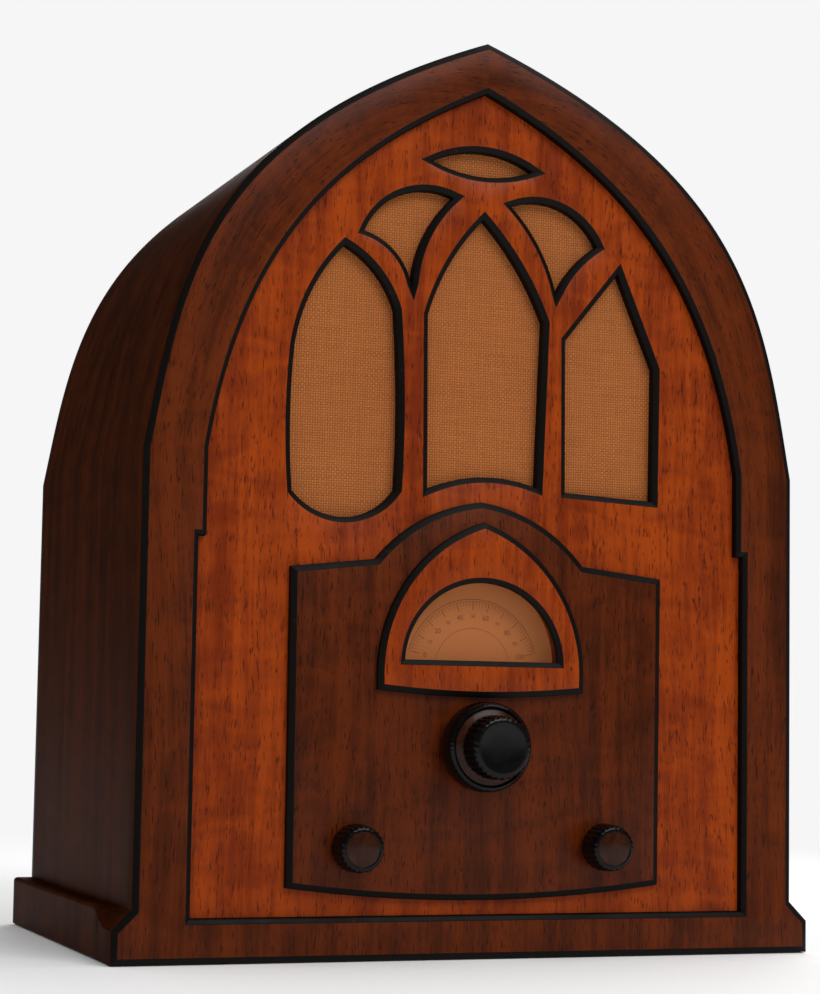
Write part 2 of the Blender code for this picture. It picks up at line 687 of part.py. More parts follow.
def make_speaker(front, axis):
    flange_front = BAFFLE_BACK + GAP
    place = (0, 0, SPEAKER_Z)
    wall = 1.6
    neck = 42
    rear = MAGNET_FRONT - GAP
    basket = [
        (flange_front, CONE_OPENING - 2), (flange_front, SPEAKER_RADIUS), (flange_front + wall, SPEAKER_RADIUS),
        (flange_front + wall, CONE_OPENING), (rear - wall, neck), (rear, neck - 1), (rear, 17),
        (rear - wall, 17), (rear - wall, neck - 2.4), (flange_front + wall, CONE_OPENING - 2.4),
    ]
    piece = new_piece("speaker_basket", turned(basket, 32, hollow=True), "black iron", front, place)
    for i in range(6):
        turn = Matrix.Rotation(math.tau * (i + 0.5) / 6, 3, "Y")
        window = box((-15, flange_front + 9, 40), (15, rear - 8, SPEAKER_RADIUS))
        bmesh.ops.rotate(window, verts=window.verts[:], cent=(0, 0, 0), matrix=turn)
        cut(piece, window)

    rim, rim_depth, coil = 71.5, 24.2, 12.5
    thin = 0.8
    cone = [
        (rim_depth, rim), (rim_depth + thin, rim), (CONE_DEPTH + thin, coil), (CONE_DEPTH + 12, coil),
        (CONE_DEPTH + 12, coil - thin), (CONE_DEPTH - 2, coil - thin), (CONE_DEPTH - 5, 8), (CONE_DEPTH - 6, 0),
        (CONE_DEPTH - 6.8, 0), (CONE_DEPTH - 5.8, 8.4), (CONE_DEPTH - 3, coil), (rim_depth, rim - 2),
    ]
    new_piece("speaker_cone", turned(cone, 32, hollow=True), "cone paper", axis)

    pot, pot_back = 40, 108
    pole, gap_outer, gap_back = 10.5, 14.5, CONE_DEPTH + 15
    magnet = [
        (MAGNET_FRONT, 0), (MAGNET_FRONT, pole), (gap_back, pole), (gap_back, gap_outer),
        (MAGNET_FRONT, gap_outer), (MAGNET_FRONT, pot), (pot_back - 3, pot), (pot_back, pot - 3), (pot_back, 0),
    ]
    new_piece("field_magnet", turned(magnet, 24), "black iron", front, place)
    low = (-22, 66, SPEAKER_Z + pot + GAP)
    new_piece("output_transformer", rounded_box(low, (22, 100, low[2] + 28), 2), "black iron", front)


# ---------------------------------------------------------------- build

def main():
    clear_scene()
    front = new_empty("front_face", (0, FRONT_Y, 0))
    gang_axis = new_empty("gang_axis", (0, 0, PIVOT_Z), front)
    tuning_axis = new_empty("tuning_axis", (0, 0, TUNING_Z), front)
    volume_axis = new_empty("volume_axis", (-SMALL_X, 0, SMALL_Z), front)
    tone_axis = new_empty("tone_axis", (SMALL_X, 0, SMALL_Z), front)
    cone_axis = new_empty("cone_axis", (0, 0, SPEAKER_Z), front)

    make_front_frame(front)
    make_shells(front)
    make_ridge_block(front)
    make_base_mouldings(front)
    make_floor_board(front)
    make_baffle_board(front)
    make_front_panel(front)
    make_grille_cloth(front)
    make_control_panel(front)

    make_dial(front)
    make_lamp(front)
    make_tuning_knob(tuning_axis)
    make_shaft_bracket(front)
    make_gang(front, gang_axis)
    make_small_control(front, volume_axis, "volume")
    make_small_control(front, tone_axis, "tone")

    make_chassis(front)
    make_bolts(front)
    make_power_transformer(front)
    make_cans(front)
    make_power_valve(front, "rectifier_tube", (112, 100, 0))
    make_power_valve(front, "output_tube", (62, 100, 0))
    for number, place in enumerate(((-112, 100, 0), (-66, 100, 0), (8, 165, 0)), 1):
        make_shielded_valve(front, number, place)
    make_rear_fittings(front)
    make_speaker(front, cone_axis)


main()
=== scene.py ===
"""The looks of the cathedral radio: walnut, ebonised edges, woven cloth, bakelite, valves and iron.

Every piece is drawn in millimetres (X to the right, depth behind the front frame's face, Z up) and
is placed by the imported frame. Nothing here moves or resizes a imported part.
"""

import math

import bmesh
import bpy
from mathutils import Matrix, Quaternion, Vector


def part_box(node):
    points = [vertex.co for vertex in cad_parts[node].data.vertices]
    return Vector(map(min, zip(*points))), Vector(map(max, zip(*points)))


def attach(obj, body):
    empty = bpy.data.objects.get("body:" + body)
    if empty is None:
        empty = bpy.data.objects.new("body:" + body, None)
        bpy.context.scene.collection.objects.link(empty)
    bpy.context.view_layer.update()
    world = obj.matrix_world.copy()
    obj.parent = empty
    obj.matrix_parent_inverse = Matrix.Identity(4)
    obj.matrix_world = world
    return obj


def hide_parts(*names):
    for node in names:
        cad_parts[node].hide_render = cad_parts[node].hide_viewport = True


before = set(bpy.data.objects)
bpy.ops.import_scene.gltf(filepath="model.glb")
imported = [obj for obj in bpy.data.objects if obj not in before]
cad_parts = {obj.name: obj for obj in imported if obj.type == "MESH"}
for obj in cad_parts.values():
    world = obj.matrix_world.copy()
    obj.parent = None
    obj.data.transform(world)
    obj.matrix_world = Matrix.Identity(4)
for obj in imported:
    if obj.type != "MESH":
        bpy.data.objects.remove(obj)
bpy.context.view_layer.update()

MM = 0.001
FRONT_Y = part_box("front_frame")[0].y


def low(node):
    """A node's lowest corner as x, depth and z in millimetres."""
    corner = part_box(node)[0]
    return Vector((corner.x, corner.y - FRONT_Y, corner.z)) / MM


def high(node):
    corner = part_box(node)[1]
    return Vector((corner.x, corner.y - FRONT_Y, corner.z)) / MM


def middle(node):
    return (low(node) + high(node)) / 2


def depths(node):
    return low(node).y, high(node).y


def heights(node):
    return low(node).z, high(node).z


def radius_of(node):
    return high(node).x - middle(node).x


def upright_at(node):
    """Where a piece drawn round an upright axis goes."""
    return (middle(node).x, middle(node).y, 0)


def level_at(node):
    """Where a piece drawn round a level axis, from front to back, goes."""
    return (middle(node).x, 0, middle(node).z)


# ---------------------------------------------------------------- cabinet shapes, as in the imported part

HEIGHT = high("front_frame").z
BASE_HALF = high("front_frame").x
BODY_HALF = high("shell_right").x
BASE_EDGE_TOP = 15.5
BASE_TOP = 25
SPRING_Z = 237                 # the outer arch springs here
OUTER_ARCH = ((BODY_HALF, SPRING_Z), (154, 316), (147, 390), (0, HEIGHT))
INNER_ARCH = ((137.5, 238), (123.2, 331.8), (79.5, 383.7), (0, 420))
STEP_Z = 197                   # the frame's inner edge steps out below this
STEP_HALF = 141.3
PANEL_BOTTOM = 20.3
ARCH_STEPS = 56
GAP = 0.3                      # clearance between pieces that touch
DIAL_Z = 141.5                 # straight lower edge of the dial window
DIAL_HALF = 39.4
DIAL_RISE = 37.5
DIAL_SILL = 131                # lower edge of the pieces behind the window
CUTOUT_RADIUS = 42
SHAFT_PLACES = ((0, 100.5), (-63.8, 52.8), (63.8, 52.8))
BORE = 3.3                     # hole for a 6 mm shaft
PIVOT_Z = 138                  # tuning gang and pointer

# Corners of the openings and applied pieces: (x, z, rise), anticlockwise, where rise is how far
# the stretch that leaves the corner bulges outwards
LEFT_LANCET = ((-70.5, 340, 4.5), (-94.9, 289.5, 1.5), (-94.9, 220.5, 13), (-42.8, 223, 1.5), (-44.3, 310, 4))
CENTRE_LANCET = ((1, 358, 3.5), (-27.4, 309, 0), (-26.5, 224, -5.5), (30.6, 227, 0), (33.4, 309, 3))
RIGHT_LANCET = ((73.6, 336.5, 0), (45.3, 301, 0), (46, 225.5, 0), (93, 223, 0), (93.6, 289.5, 0))
EYE = ((-26.2, 385.2, 5.3), (26.6, 384.2, 6.8))
LEFT_MOUCHETTE = ((-60.8, 347.8, -5.3), (-36, 322, -5), (-15, 367.6, 10.2))
RIGHT_MOUCHETTE = ((15.6, 366, -3.5), (40, 323.8, -2.4), (62, 349.4, 9.8))
FRET_OPENINGS = (LEFT_LANCET, CENTRE_LANCET, RIGHT_LANCET, EYE, LEFT_MOUCHETTE, RIGHT_MOUCHETTE)
OVERLAY_OUTLINE = (
    (-95.5, 34, 6.5), (95.5, 34, 0), (96, 184.2, 0), (53.8, 189, 6), (0, 218.3, 6),
    (-53.8, 189, 0), (-96, 184.2, 0),
)
ESCUTCHEON_OUTLINE = ((-53, 127, 3), (53, 127, 0), (53, 131, 16), (0, 208.3, 16), (-53, 131, 0))


def arc(start, end, rise, steps):
    """Points from start up to, not including, end; rise is the bulge to the right of the way."""
    if abs(rise) < 0.001:
        return [tuple(start)]
    start, end = Vector(start), Vector(end)
    along = end - start
    chord = along.length
    along.normalize()
    outwards = Vector((along.y, -along.x))
    half_angle = 2 * math.atan(2 * rise / chord)
    radius = chord / (2 * math.sin(half_angle))
    centre = (start + end) / 2
    points = []
    for i in range(steps):
        angle = half_angle * (2 * i / steps - 1)
        bulge = radius * (math.cos(angle) - math.cos(half_angle))
        points.append(tuple(centre + along * radius * math.sin(angle) + outwards * bulge))
    return points


def outline(corners, steps=28):
    """A closed outline from corners of (x, z, rise)."""
    points = []
    for i, (x, z, rise) in enumerate(corners):
        following = corners[(i + 1) % len(corners)]
        points += arc((x, z), following[:2], rise, steps)
    return points


def circle(radius, x=0, z=0, steps=48):
    turns = [math.tau * i / steps for i in range(steps)]
    return [(x + radius * math.cos(turn), z + radius * math.sin(turn)) for turn in turns]


def half_disc(radius, sill):
    """A half disc on the dial's lower edge, with a straight skirt down to the sill."""
    corners = [(radius, DIAL_Z, radius), (-radius, DIAL_Z, 0), (-radius, sill, 0), (radius, sill, 0)]
    return outline(corners, 72)


def arch_side(control, inset=0.0, stop=0.0):
    """The right-hand side of an arch from its spring to x = stop, moved inwards by inset."""
    start, first, second, end = [Vector(point) for point in control]
    points = []
    for i in range(ARCH_STEPS + 1):
        t = i / ARCH_STEPS
        s = 1 - t
        place = s**3 * start + 3 * s * s * t * first + 3 * s * t * t * second + t**3 * end
        way = s * s * (first - start) + 2 * s * t * (second - first) + t * t * (end - second)
        way.normalize()
        points.append(place + inset * Vector((-way.y, way.x)))
    kept = [point for point in points if point.x > stop + 0.3]
    last, beyond = kept[-1], points[len(kept)]
    slope = (beyond.y - last.y) / (beyond.x - last.x)
    apex = (stop, last.y + slope * (stop - last.x))
    return [tuple(point) for point in kept] + [apex]


def mirrored(side):
    """A whole outline from its right-hand side, which ends on the centre line."""
    return side + [(-x, z) for x, z in reversed(side[:-1])]


def frame_opening(inset=0.0):
    corners = [
        (STEP_HALF - inset, PANEL_BOTTOM + inset),
        (STEP_HALF - inset, STEP_Z - inset),
        (INNER_ARCH[0][0] - inset, STEP_Z - inset),
    ]
    return mirrored(corners + arch_side(INNER_ARCH, inset))


# ---------------------------------------------------------------- mesh tools

def new_piece(name, bm, materials, node=None, body="cabinet", place=(0, 0, 0), sharp=32):
    """Turn a bmesh drawn in millimetres into a piece that rides on a body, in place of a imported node."""
    bmesh.ops.recalc_face_normals(bm, faces=bm.faces[:])
    bmesh.ops.scale(bm, vec=(MM, MM, MM), verts=bm.verts[:])
    mesh = bpy.data.meshes.new(name)
    bm.to_mesh(mesh)
    bm.free()
    for material in materials:
        mesh.materials.append(material)
    piece = bpy.data.objects.new(name, mesh)
    piece.location = Vector(place) * MM + Vector((0, FRONT_Y, 0))
    bpy.context.collection.objects.link(piece)
    mesh.shade_smooth()
    mesh.set_sharp_from_angle(angle=math.radians(sharp))
    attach(piece, body)
    if node:
        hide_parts(node)
    return piece


def offset_loop(points, distance):
    """Move a closed outline's points to their left by distance, with mitred corners."""
    limit = 2.5                # how far a sharp corner's mitre may reach
    moved = []
    count = len(points)
    for i in range(count):
        before, here, after = Vector(points[i - 1]), Vector(points[i]), Vector(points[(i + 1) % count])
        first = (here - before).normalized()
        second = (after - here).normalized()
        normal = Vector((-first.y - second.y, first.x + second.x))
        if normal.length < 1e-6:
            normal = Vector((-first.y, first.x))
        normal.normalize()
        spread = max(normal.dot(Vector((-first.y, first.x))), 1 / limit)
        moved.append(tuple(here + normal * distance / spread))
    return moved


def ring_of(bm, points, depth):
    return [bm.verts.new((x, depth, z)) for x, z in points]


def bridge(bm, first, second, slot=0, skip=None):
    """Faces between two rings, apart from the ones whose number skip() picks out."""
    for i in range(len(first)):
        if skip and skip(i):
            continue
        face = bm.faces.new((first[i - 1], first[i], second[i], second[i - 1]))
        face.material_index = slot


def fill(bm, rings, slot=0):
    """Close the flat area between rings that lie in one plane."""
    edges = []
    for ring in rings:
        for i in range(len(ring)):
            edge = bm.edges.get((ring[i - 1], ring[i])) or bm.edges.new((ring[i - 1], ring[i]))
            edges.append(edge)
    made = bmesh.ops.triangle_fill(bm, use_beauty=True, use_dissolve=False, edges=edges)
    for item in made["geom"]:
        if isinstance(item, bmesh.types.BMFace):
            item.material_index = slot


def moulded(outer, outer_profile, holes=(), back_slot=0):
    """A plate whose edges follow moulding profiles.

    outer is an anticlockwise outline; holes are (outline, profile). A profile runs from the back face
    to the front face as (distance into the wood, depth, material slot of the strip that follows).
    """
    bm = bmesh.new()
    fronts, backs = [], []
    for points, profile, side in [(outer, outer_profile, 1)] + [(*hole, -1) for hole in holes]:
        rings = []
        for inset, depth, _ in profile:
            rings.append(ring_of(bm, offset_loop(points, side * inset), depth))
        for first, second, (_, _, slot) in zip(rings, rings[1:], profile):
            bridge(bm, first, second, slot)
        backs.append(rings[0])
        fronts.append(rings[-1])
    fill(bm, fronts)
    fill(bm, backs, back_slot)
    return bm


def about(along, radius, *steps):
    """Profile points given as steps from one place, such as an edge."""
    return [(along + step[0], radius + step[1], *step[2:]) for step in steps]


def lathe(profile, steps=96, flutes=0, depth=0.0, upright=False, closed=True, skip_strip=None, skip=None):
    """Turn (along, radius[, flute weight[, slot]]) points about the depth axis, or upright about Z.

    A profile with both ends off the axis is closed on itself unless closed is False. skip_strip and
    skip() say which faces are left out of which strip.
    """
    bm = bmesh.new()
    rings = []
    for along, radius, *rest in profile:
        weight = rest[0] if rest else 0
        ring = []
        for i in range(steps if radius > 0 else 1):
            turn = math.tau * i / steps
            here = radius - weight * depth * (0.5 - 0.5 * math.cos(flutes * turn))
            x, y = here * math.cos(turn), here * math.sin(turn)
            ring.append(bm.verts.new((x, y, along) if upright else (x, along, y)))
        rings.append(ring)
    pairs = list(zip(rings, rings[1:], profile))
    if closed and len(rings[0]) > 1 and len(rings[-1]) > 1:
        pairs.append((rings[-1], rings[0], profile[-1]))
    for number, (first, second, point) in enumerate(pairs):
        slot = point[3] if len(point) > 3 else 0
        join_rings(bm, first, second, slot, skip if number == skip_strip else None)
    return bm


def join_rings(bm, first, second, slot, skip):
    """Faces between two rings, either of which may be a single point on the axis."""
    if len(first) > 1 and len(second) > 1:
        bridge(bm, first, second, slot, skip)
        return
    tip, ring = (first[0], second) if len(first) == 1 else (second[0], first)
    if len(ring) < 2:
        return
    for i in range(len(ring)):
        face = bm.faces.new((ring[i - 1], ring[i], tip))
        face.material_index = slot


def rounded_loop(half_x, half_y, radius, steps):
    """A rectangle with rounded corners, as (x, y) points."""
    radius = max(radius, 0.01)
    points = []
    for quarter, (sx, sy) in enumerate(((1, 1), (-1, 1), (-1, -1), (1, -1))):
        for i in range(steps + 1):
            turn = math.pi / 2 * (quarter + i / steps)
            x = sx * (half_x - radius) + radius * math.cos(turn)
            y = sy * (half_y - radius) + radius * math.sin(turn)
            points.append((x, y))
    return points


def tower(profile, half_x, half_y, radius, steps=6):
    """A rounded rectangle lofted upwards through (z, inset) points, closed at both ends."""
    bm = bmesh.new()
    rings = []
    for z, inset in profile:
        loop = rounded_loop(half_x - inset, half_y - inset, radius - inset * 0.6, steps)
        rings.append([bm.verts.new((x, y, z)) for x, y in loop])
    for first, second in zip(rings, rings[1:]):
        bridge(bm, first, second)
    bm.faces.new(rings[0])
    bm.faces.new(rings[-1])
    return bm


def gather(parts):
    """One bmesh out of (bmesh, slot or None to keep its own[, place[, turn in degrees about Z]]) parts."""
    whole = bmesh.new()
    for bm, slot, *move in parts:
        if len(move) > 1:
            spin = Matrix.Rotation(math.radians(move[1]), 3, "Z")
            bmesh.ops.rotate(bm, verts=bm.verts[:], cent=(0, 0, 0), matrix=spin)
        if move:
            bmesh.ops.translate(bm, verts=bm.verts[:], vec=move[0])
        if slot is not None:
            for face in bm.faces:
                face.material_index = slot
        mesh = bpy.data.meshes.new("part")
        bm.to_mesh(mesh)
        bm.free()
        whole.from_mesh(mesh)
        bpy.data.meshes.remove(mesh)
    return whole


def facing(bm, way):
    """Turn a shape drawn upright about Z to stand along the depth axis, to the rear or to the front."""
    angle = {"rear": -math.pi / 2, "front": math.pi / 2}[way]
    bmesh.ops.rotate(bm, verts=bm.verts[:], cent=(0, 0, 0), matrix=Matrix.Rotation(angle, 3, "X"))
    return bm


def rod(radius, start, end, round_off):
    """The profile of a rod with eased ends."""
    ease = min(round_off, radius / 2)
    return [
        (start, 0), *about(start, radius, (0, -ease), (ease, 0)),
        *about(end, radius, (-ease, 0), (0, -ease)), (end, 0),
    ]


def pin(radius, low_z, high_z, steps=16, round_off=0.2):
    return lathe(rod(radius, low_z, high_z, round_off), steps, upright=True)


def screw_head(radius, height, turn):
    """A slotted round head that stands on z = 0; slot 0 is metal, slot 1 the dark driver slot."""
    dome = [(0, 0), (0, radius), (height * 0.35, radius)]
    dome += [(height * (0.35 + 0.65 * math.sin(a)), radius * math.cos(a)) for a in (0.4, 0.8, 1.2)]
    dome += [(height, 0)]
    length, width = radius * 0.86, radius * 0.13
    groove = box_shape((-length, -width, height * 0.5), (length, width, height + 0.02))
    return gather([(lathe(dome, 28, upright=True), 0), (groove, 1, (0, 0, 0), turn)])


def hexagon(radius, height):
    """A hexagon nut with a chamfered top, standing on z = 0."""
    profile = [(0, 0), (0, radius), (height * 0.82, radius), (height, radius * 0.9), (height, 0)]
    return lathe(profile, 6, upright=True)


def box_shape(low_corner, high_corner):
    bm = bmesh.new()
    low_corner, high_corner = Vector(low_corner), Vector(high_corner)
    place = Matrix.Translation((low_corner + high_corner) / 2)
    bmesh.ops.create_cube(bm, size=1, matrix=place @ Matrix.Diagonal((*(high_corner - low_corner), 1)))
    return bm


def soften(piece, width, segments=2, angle=35):
    """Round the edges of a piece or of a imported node."""
    weld = piece.modifiers.new("weld", "WELD")
    weld.merge_threshold = 0.00001
    bevel = piece.modifiers.new("bevel", "BEVEL")
    bevel.width = width * MM
    bevel.segments = segments
    bevel.limit_method = "ANGLE"
    bevel.angle_limit = math.radians(angle)


def thicken(piece, thickness, offset=-1):
    """Give an open skin a wall: offset -1 grows it inwards, 1 outwards."""
    wall = piece.modifiers.new("wall", "SOLIDIFY")
    wall.thickness = thickness * MM
    wall.offset = offset


# ---------------------------------------------------------------- material tools

def srgb(*channels):
    values = [channel / 255 for channel in channels]
    return tuple(v / 12.92 if v <= 0.04045 else ((v + 0.055) / 1.055) ** 2.4 for v in values)


class Graph:
    """A short way to write a material's nodes."""

    def __init__(self, name, roughness=0.5, metallic=0.0, **sockets):
        self.material = bpy.data.materials.new(name)
        self.material.use_nodes = True
        self.tree = self.material.node_tree
        self.shader = self.tree.nodes["Principled BSDF"]
        self.shader.inputs["Roughness"].default_value = roughness
        self.shader.inputs["Metallic"].default_value = metallic
        for key, value in sockets.items():
            self.shader.inputs[key.replace("_", " ")].default_value = value

    def add(self, kind, **settings):
        node = self.tree.nodes.new("ShaderNode" + kind)
        for key, value in settings.items():
            setattr(node, key, value)
        return node

    def plug(self, socket, value):
        if isinstance(value, bpy.types.NodeSocket):
            self.tree.links.new(value, socket)
        elif value is not None:
            socket.default_value = value

    def place(self):
        return self.add("TexCoord").outputs["Object"]

    def vector(self, operation, first, second):
        node = self.add("VectorMath", operation=operation)
        self.plug(node.inputs[0], first)
        self.plug(node.inputs[1], second)
        return node.outputs[0]

    def math(self, operation, first, second=None, third=None):
        node = self.add("Math", operation=operation)
        for socket, value in zip(node.inputs, (first, second, third)):
            self.plug(socket, value)
        return node.outputs[0]

    def split(self, vector):
        node = self.add("SeparateXYZ")
        self.plug(node.inputs[0], vector)
        return node.outputs[0], node.outputs[1], node.outputs[2]

    def combine(self, x, y, z):
        node = self.add("CombineXYZ")
        for socket, value in zip(node.inputs, (x, y, z)):
            self.plug(socket, value)
        return node.outputs[0]

    def noise(self, vector, scale, detail=3.0, rough=0.5, distortion=0.0):
        node = self.add("TexNoise")
        self.plug(node.inputs["Vector"], vector)
        node.inputs["Scale"].default_value = scale
        node.inputs["Detail"].default_value = detail
        node.inputs["Roughness"].default_value = rough
        node.inputs["Distortion"].default_value = distortion
        return node.outputs[0]

    def remap(self, value, low_in, high_in, low_out=0.0, high_out=1.0):
        node = self.add("MapRange", interpolation_type="SMOOTHSTEP")
        for socket, item in zip(node.inputs, (value, low_in, high_in, low_out, high_out)):
            self.plug(socket, item)
        return node.outputs[0]

    def mix(self, factor, first, second):
        node = self.add("Mix", data_type="RGBA")
        self.plug(node.inputs[0], factor)
        for socket, value in ((node.inputs[6], first), (node.inputs[7], second)):
            self.plug(socket, (*value, 1) if isinstance(value, tuple) else value)
        return node.outputs[2]

    def colour(self, value):
        self.plug(self.shader.inputs["Base Color"], (*value, 1) if isinstance(value, tuple) else value)

    def roughness(self, value):
        self.plug(self.shader.inputs["Roughness"], value)

    def bump(self, height, distance=0.0001, strength=1.0):
        node = self.add("Bump")
        node.inputs["Strength"].default_value = strength
        node.inputs["Distance"].default_value = distance
        self.plug(node.inputs["Height"], height)
        self.plug(self.shader.inputs["Normal"], node.outputs[0])


def arch_space(g, place):
    """Coordinates whose third axis follows the arch, so that the grain bends round it."""
    squash = BODY_HALF / (HEIGHT - SPRING_Z)
    apart = 0.37               # keeps the two halves' grain from being mirror images
    x, y, z = g.split(place)
    across = g.math("ABSOLUTE", x)
    rise = g.math("MULTIPLY", g.math("SUBTRACT", z, SPRING_Z * MM), squash)
    above = g.math("MAXIMUM", rise, 0.0)
    below = g.math("MINIMUM", rise, 0.0)
    radius = g.math("SQRT", g.math("ADD", g.math("POWER", across, 2.0), g.math("POWER", above, 2.0)))
    turn = g.math("MULTIPLY", g.math("ARCTAN2", above, across), BODY_HALF * MM)
    side = g.math("MULTIPLY", g.math("SIGN", x), apart)
    return g.combine(g.math("ADD", radius, side), y, g.math("ADD", turn, below))


def walnut(name, dark, light, bend=False, seed=0.0, gloss=0.38, figure=1.0, shine=0.1, coat=0.03):
    """Stained and lacquered walnut with upright grain: streaks, fibre, pores and a soft cross figure."""
    g = Graph(name, roughness=gloss, Specular_IOR_Level=shine, Coat_Weight=coat, Coat_Roughness=0.2)
    place = g.place()
    if bend:
        place = arch_space(g, place)
    place = g.vector("ADD", place, (seed, seed * 0.7, seed * 1.3))
    x, y, z = g.split(place)
    wander = g.noise(g.vector("MULTIPLY", place, (9.0, 9.0, 3.2)), 1.0, 2.0)
    drift = g.math("MULTIPLY", g.math("SUBTRACT", wander, 0.5), 0.028)
    grain = g.combine(g.math("ADD", x, drift), y, g.math("MULTIPLY", z, 0.06))
    streaks = g.noise(grain, 62.0, 4.0, 0.6)
    lines = g.noise(grain, 330.0, 3.0, 0.6)
    fibre = g.noise(grain, 2100.0, 2.0, 0.6)
    pores = g.noise(g.vector("MULTIPLY", grain, (1.0, 1.0, 2.6)), 1250.0, 1.0, 0.5)
    pore_mask = g.remap(pores, 0.6, 0.72)
    cross = g.noise(g.vector("MULTIPLY", place, (34.0, 34.0, 75.0)), 1.0, 2.0, 0.5, 0.8)
    tone = g.math("MULTIPLY_ADD", streaks, 0.55, g.math("MULTIPLY", lines, 0.3))
    tone = g.math("MULTIPLY_ADD", fibre, 0.15, tone)
    tone = g.math("MULTIPLY_ADD", g.math("SUBTRACT", cross, 0.5), 0.22 * figure, tone)
    spread = g.remap(tone, 0.36, 0.64)
    colour = g.mix(spread, dark, light)
    deep = tuple(channel * 0.35 for channel in dark)
    g.colour(g.mix(g.math("MULTIPLY", pore_mask, 0.75), colour, deep))
    g.roughness(g.math("MULTIPLY_ADD", lines, 0.14, gloss - 0.07))
    g.bump(g.math("SUBTRACT", g.math("MULTIPLY", fibre, 0.35), pore_mask), 0.00006, 0.6)
    return g.material


def ebonised(name):
    """Black-stained edge wood, rubbed thin in places."""
    g = Graph(name, roughness=0.5, Specular_IOR_Level=0.12)
    place = g.place()
    rubbed = g.noise(place, 90.0, 4.0, 0.6)
    fine = g.noise(place, 1400.0, 2.0, 0.6)
    worn = g.remap(g.math("MULTIPLY_ADD", fine, 0.25, rubbed), 0.79, 0.9, 0.0, 0.55)
    base = g.mix(fine, srgb(5, 3, 2), srgb(13, 8, 5))
    g.colour(g.mix(worn, base, srgb(60, 26, 8)))
    g.roughness(g.math("MULTIPLY_ADD", rubbed, 0.2, 0.42))
    g.bump(fine, 0.00005, 0.5)
    return g.material


def grille_weave(name):
    """Plain-woven cloth: warp and weft pass over and under each other, with slubs, painted shade in the
    weave's hollows and a faint painted highlight on the threads' crowns.
    """
    g = Graph(name, roughness=0.9, Specular_IOR_Level=0.15, Sheen_Weight=0.12, Sheen_Roughness=0.5)
    pitch = 0.00125
    x, _, z = g.split(g.place())
    columns, rows = g.math("DIVIDE", x, pitch), g.math("DIVIDE", z, pitch)
    across = g.math("SINE", g.math("MULTIPLY", g.math("FRACT", columns), math.pi))
    up = g.math("SINE", g.math("MULTIPLY", g.math("FRACT", rows), math.pi))
    parity = g.math("ADD", g.math("FLOOR", columns), g.math("FLOOR", rows))
    odd = g.math("MULTIPLY", g.math("FRACT", g.math("MULTIPLY", parity, 0.5)), 2.0)
    warp = g.math("MULTIPLY", across, g.math("MULTIPLY_ADD", up, 0.6, 0.4))
    weft = g.math("MULTIPLY", up, g.math("MULTIPLY_ADD", across, 0.6, 0.4))
    height = g.math("MULTIPLY_ADD", odd, g.math("SUBTRACT", warp, weft), weft)
    warp_slub = g.noise(g.combine(g.math("FLOOR", columns), 0.0, g.math("MULTIPLY", z, 60.0)), 0.83, 2.0)
    weft_slub = g.noise(g.combine(g.math("MULTIPLY", x, 60.0), 5.0, g.math("FLOOR", rows)), 0.83, 2.0)
    warp_tone = g.mix(warp_slub, srgb(143, 79, 34), srgb(183, 109, 55))
    weft_tone = g.mix(weft_slub, srgb(131, 71, 30), srgb(177, 103, 49))
    thread = g.mix(odd, weft_tone, warp_tone)
    # The thread colour follows the weave's height: painted shade where threads dip under one another and a
    # faint painted highlight on their crowns. The dulled noise adds a random faded tone on top.
    shade = g.remap(height, 0.05, 0.75, 0.55, 1.08)
    dulled = g.noise(g.place(), 14.0, 3.0)
    shade = g.math("MULTIPLY", shade, g.math("MULTIPLY_ADD", dulled, 0.16, 0.95))
    g.colour(g.vector("MULTIPLY", thread, g.combine(shade, shade, shade)))
    g.bump(height, 0.0003, 0.7)
    return g.material


def bakelite(name, base, mottle, gloss=0.22):
    """Moulded phenolic: a faint mottle and fine handling scratches."""
    g = Graph(name, roughness=gloss, Specular_IOR_Level=0.16, Coat_Weight=0.05, Coat_Roughness=0.12)
    place = g.place()
    flow = g.noise(place, 120.0, 5.0, 0.65, 1.5)
    g.colour(g.mix(g.remap(flow, 0.4, 0.75), base, mottle))
    scratches = g.noise(g.vector("MULTIPLY", place, (600.0, 90.0, 600.0)), 1.0, 4.0, 0.7)
    g.roughness(g.math("MULTIPLY_ADD", scratches, 0.18, gloss - 0.05))
    g.bump(g.math("MULTIPLY_ADD", flow, 0.3, scratches), 0.00004, 0.4)
    return g.material


def metal(name, base, stain, roughness=0.38, grain=(300.0, 300.0, 300.0), patches=22.0):
    """Plated or drawn metal with a soft grain and dull patches."""
    g = Graph(name, roughness=roughness, metallic=1.0)
    place = g.place()
    blotch = g.noise(place, patches, 5.0, 0.6, 0.4)
    brushed = g.noise(g.vector("MULTIPLY", place, grain), 1.0, 3.0, 0.6)
    dull = g.remap(blotch, 0.45, 0.72, 0.0, 0.6)
    g.colour(g.mix(dull, base, stain))
    g.roughness(g.math("MULTIPLY_ADD", dull, 0.25, g.math("MULTIPLY_ADD", brushed, 0.2, roughness - 0.1)))
    g.bump(brushed, 0.00003, 0.5)
    return g.material


def enamel(name, base, roughness=0.42, crackle=False):
    """Black enamel on iron, smooth or wrinkled."""
    g = Graph(name, roughness=roughness, Specular_IOR_Level=0.4)
    place = g.place()
    dust = g.noise(place, 40.0, 4.0, 0.6)
    g.colour(g.mix(g.remap(dust, 0.5, 0.8, 0.0, 0.6), base, srgb(74, 68, 60)))
    fine = g.noise(place, 1100.0 if crackle else 500.0, 3.0, 0.6, 1.2 if crackle else 0.0)
    g.roughness(g.math("MULTIPLY_ADD", dust, 0.25, roughness - 0.1))
    g.bump(fine, 0.0002 if crackle else 0.00004, 0.8)
    return g.material


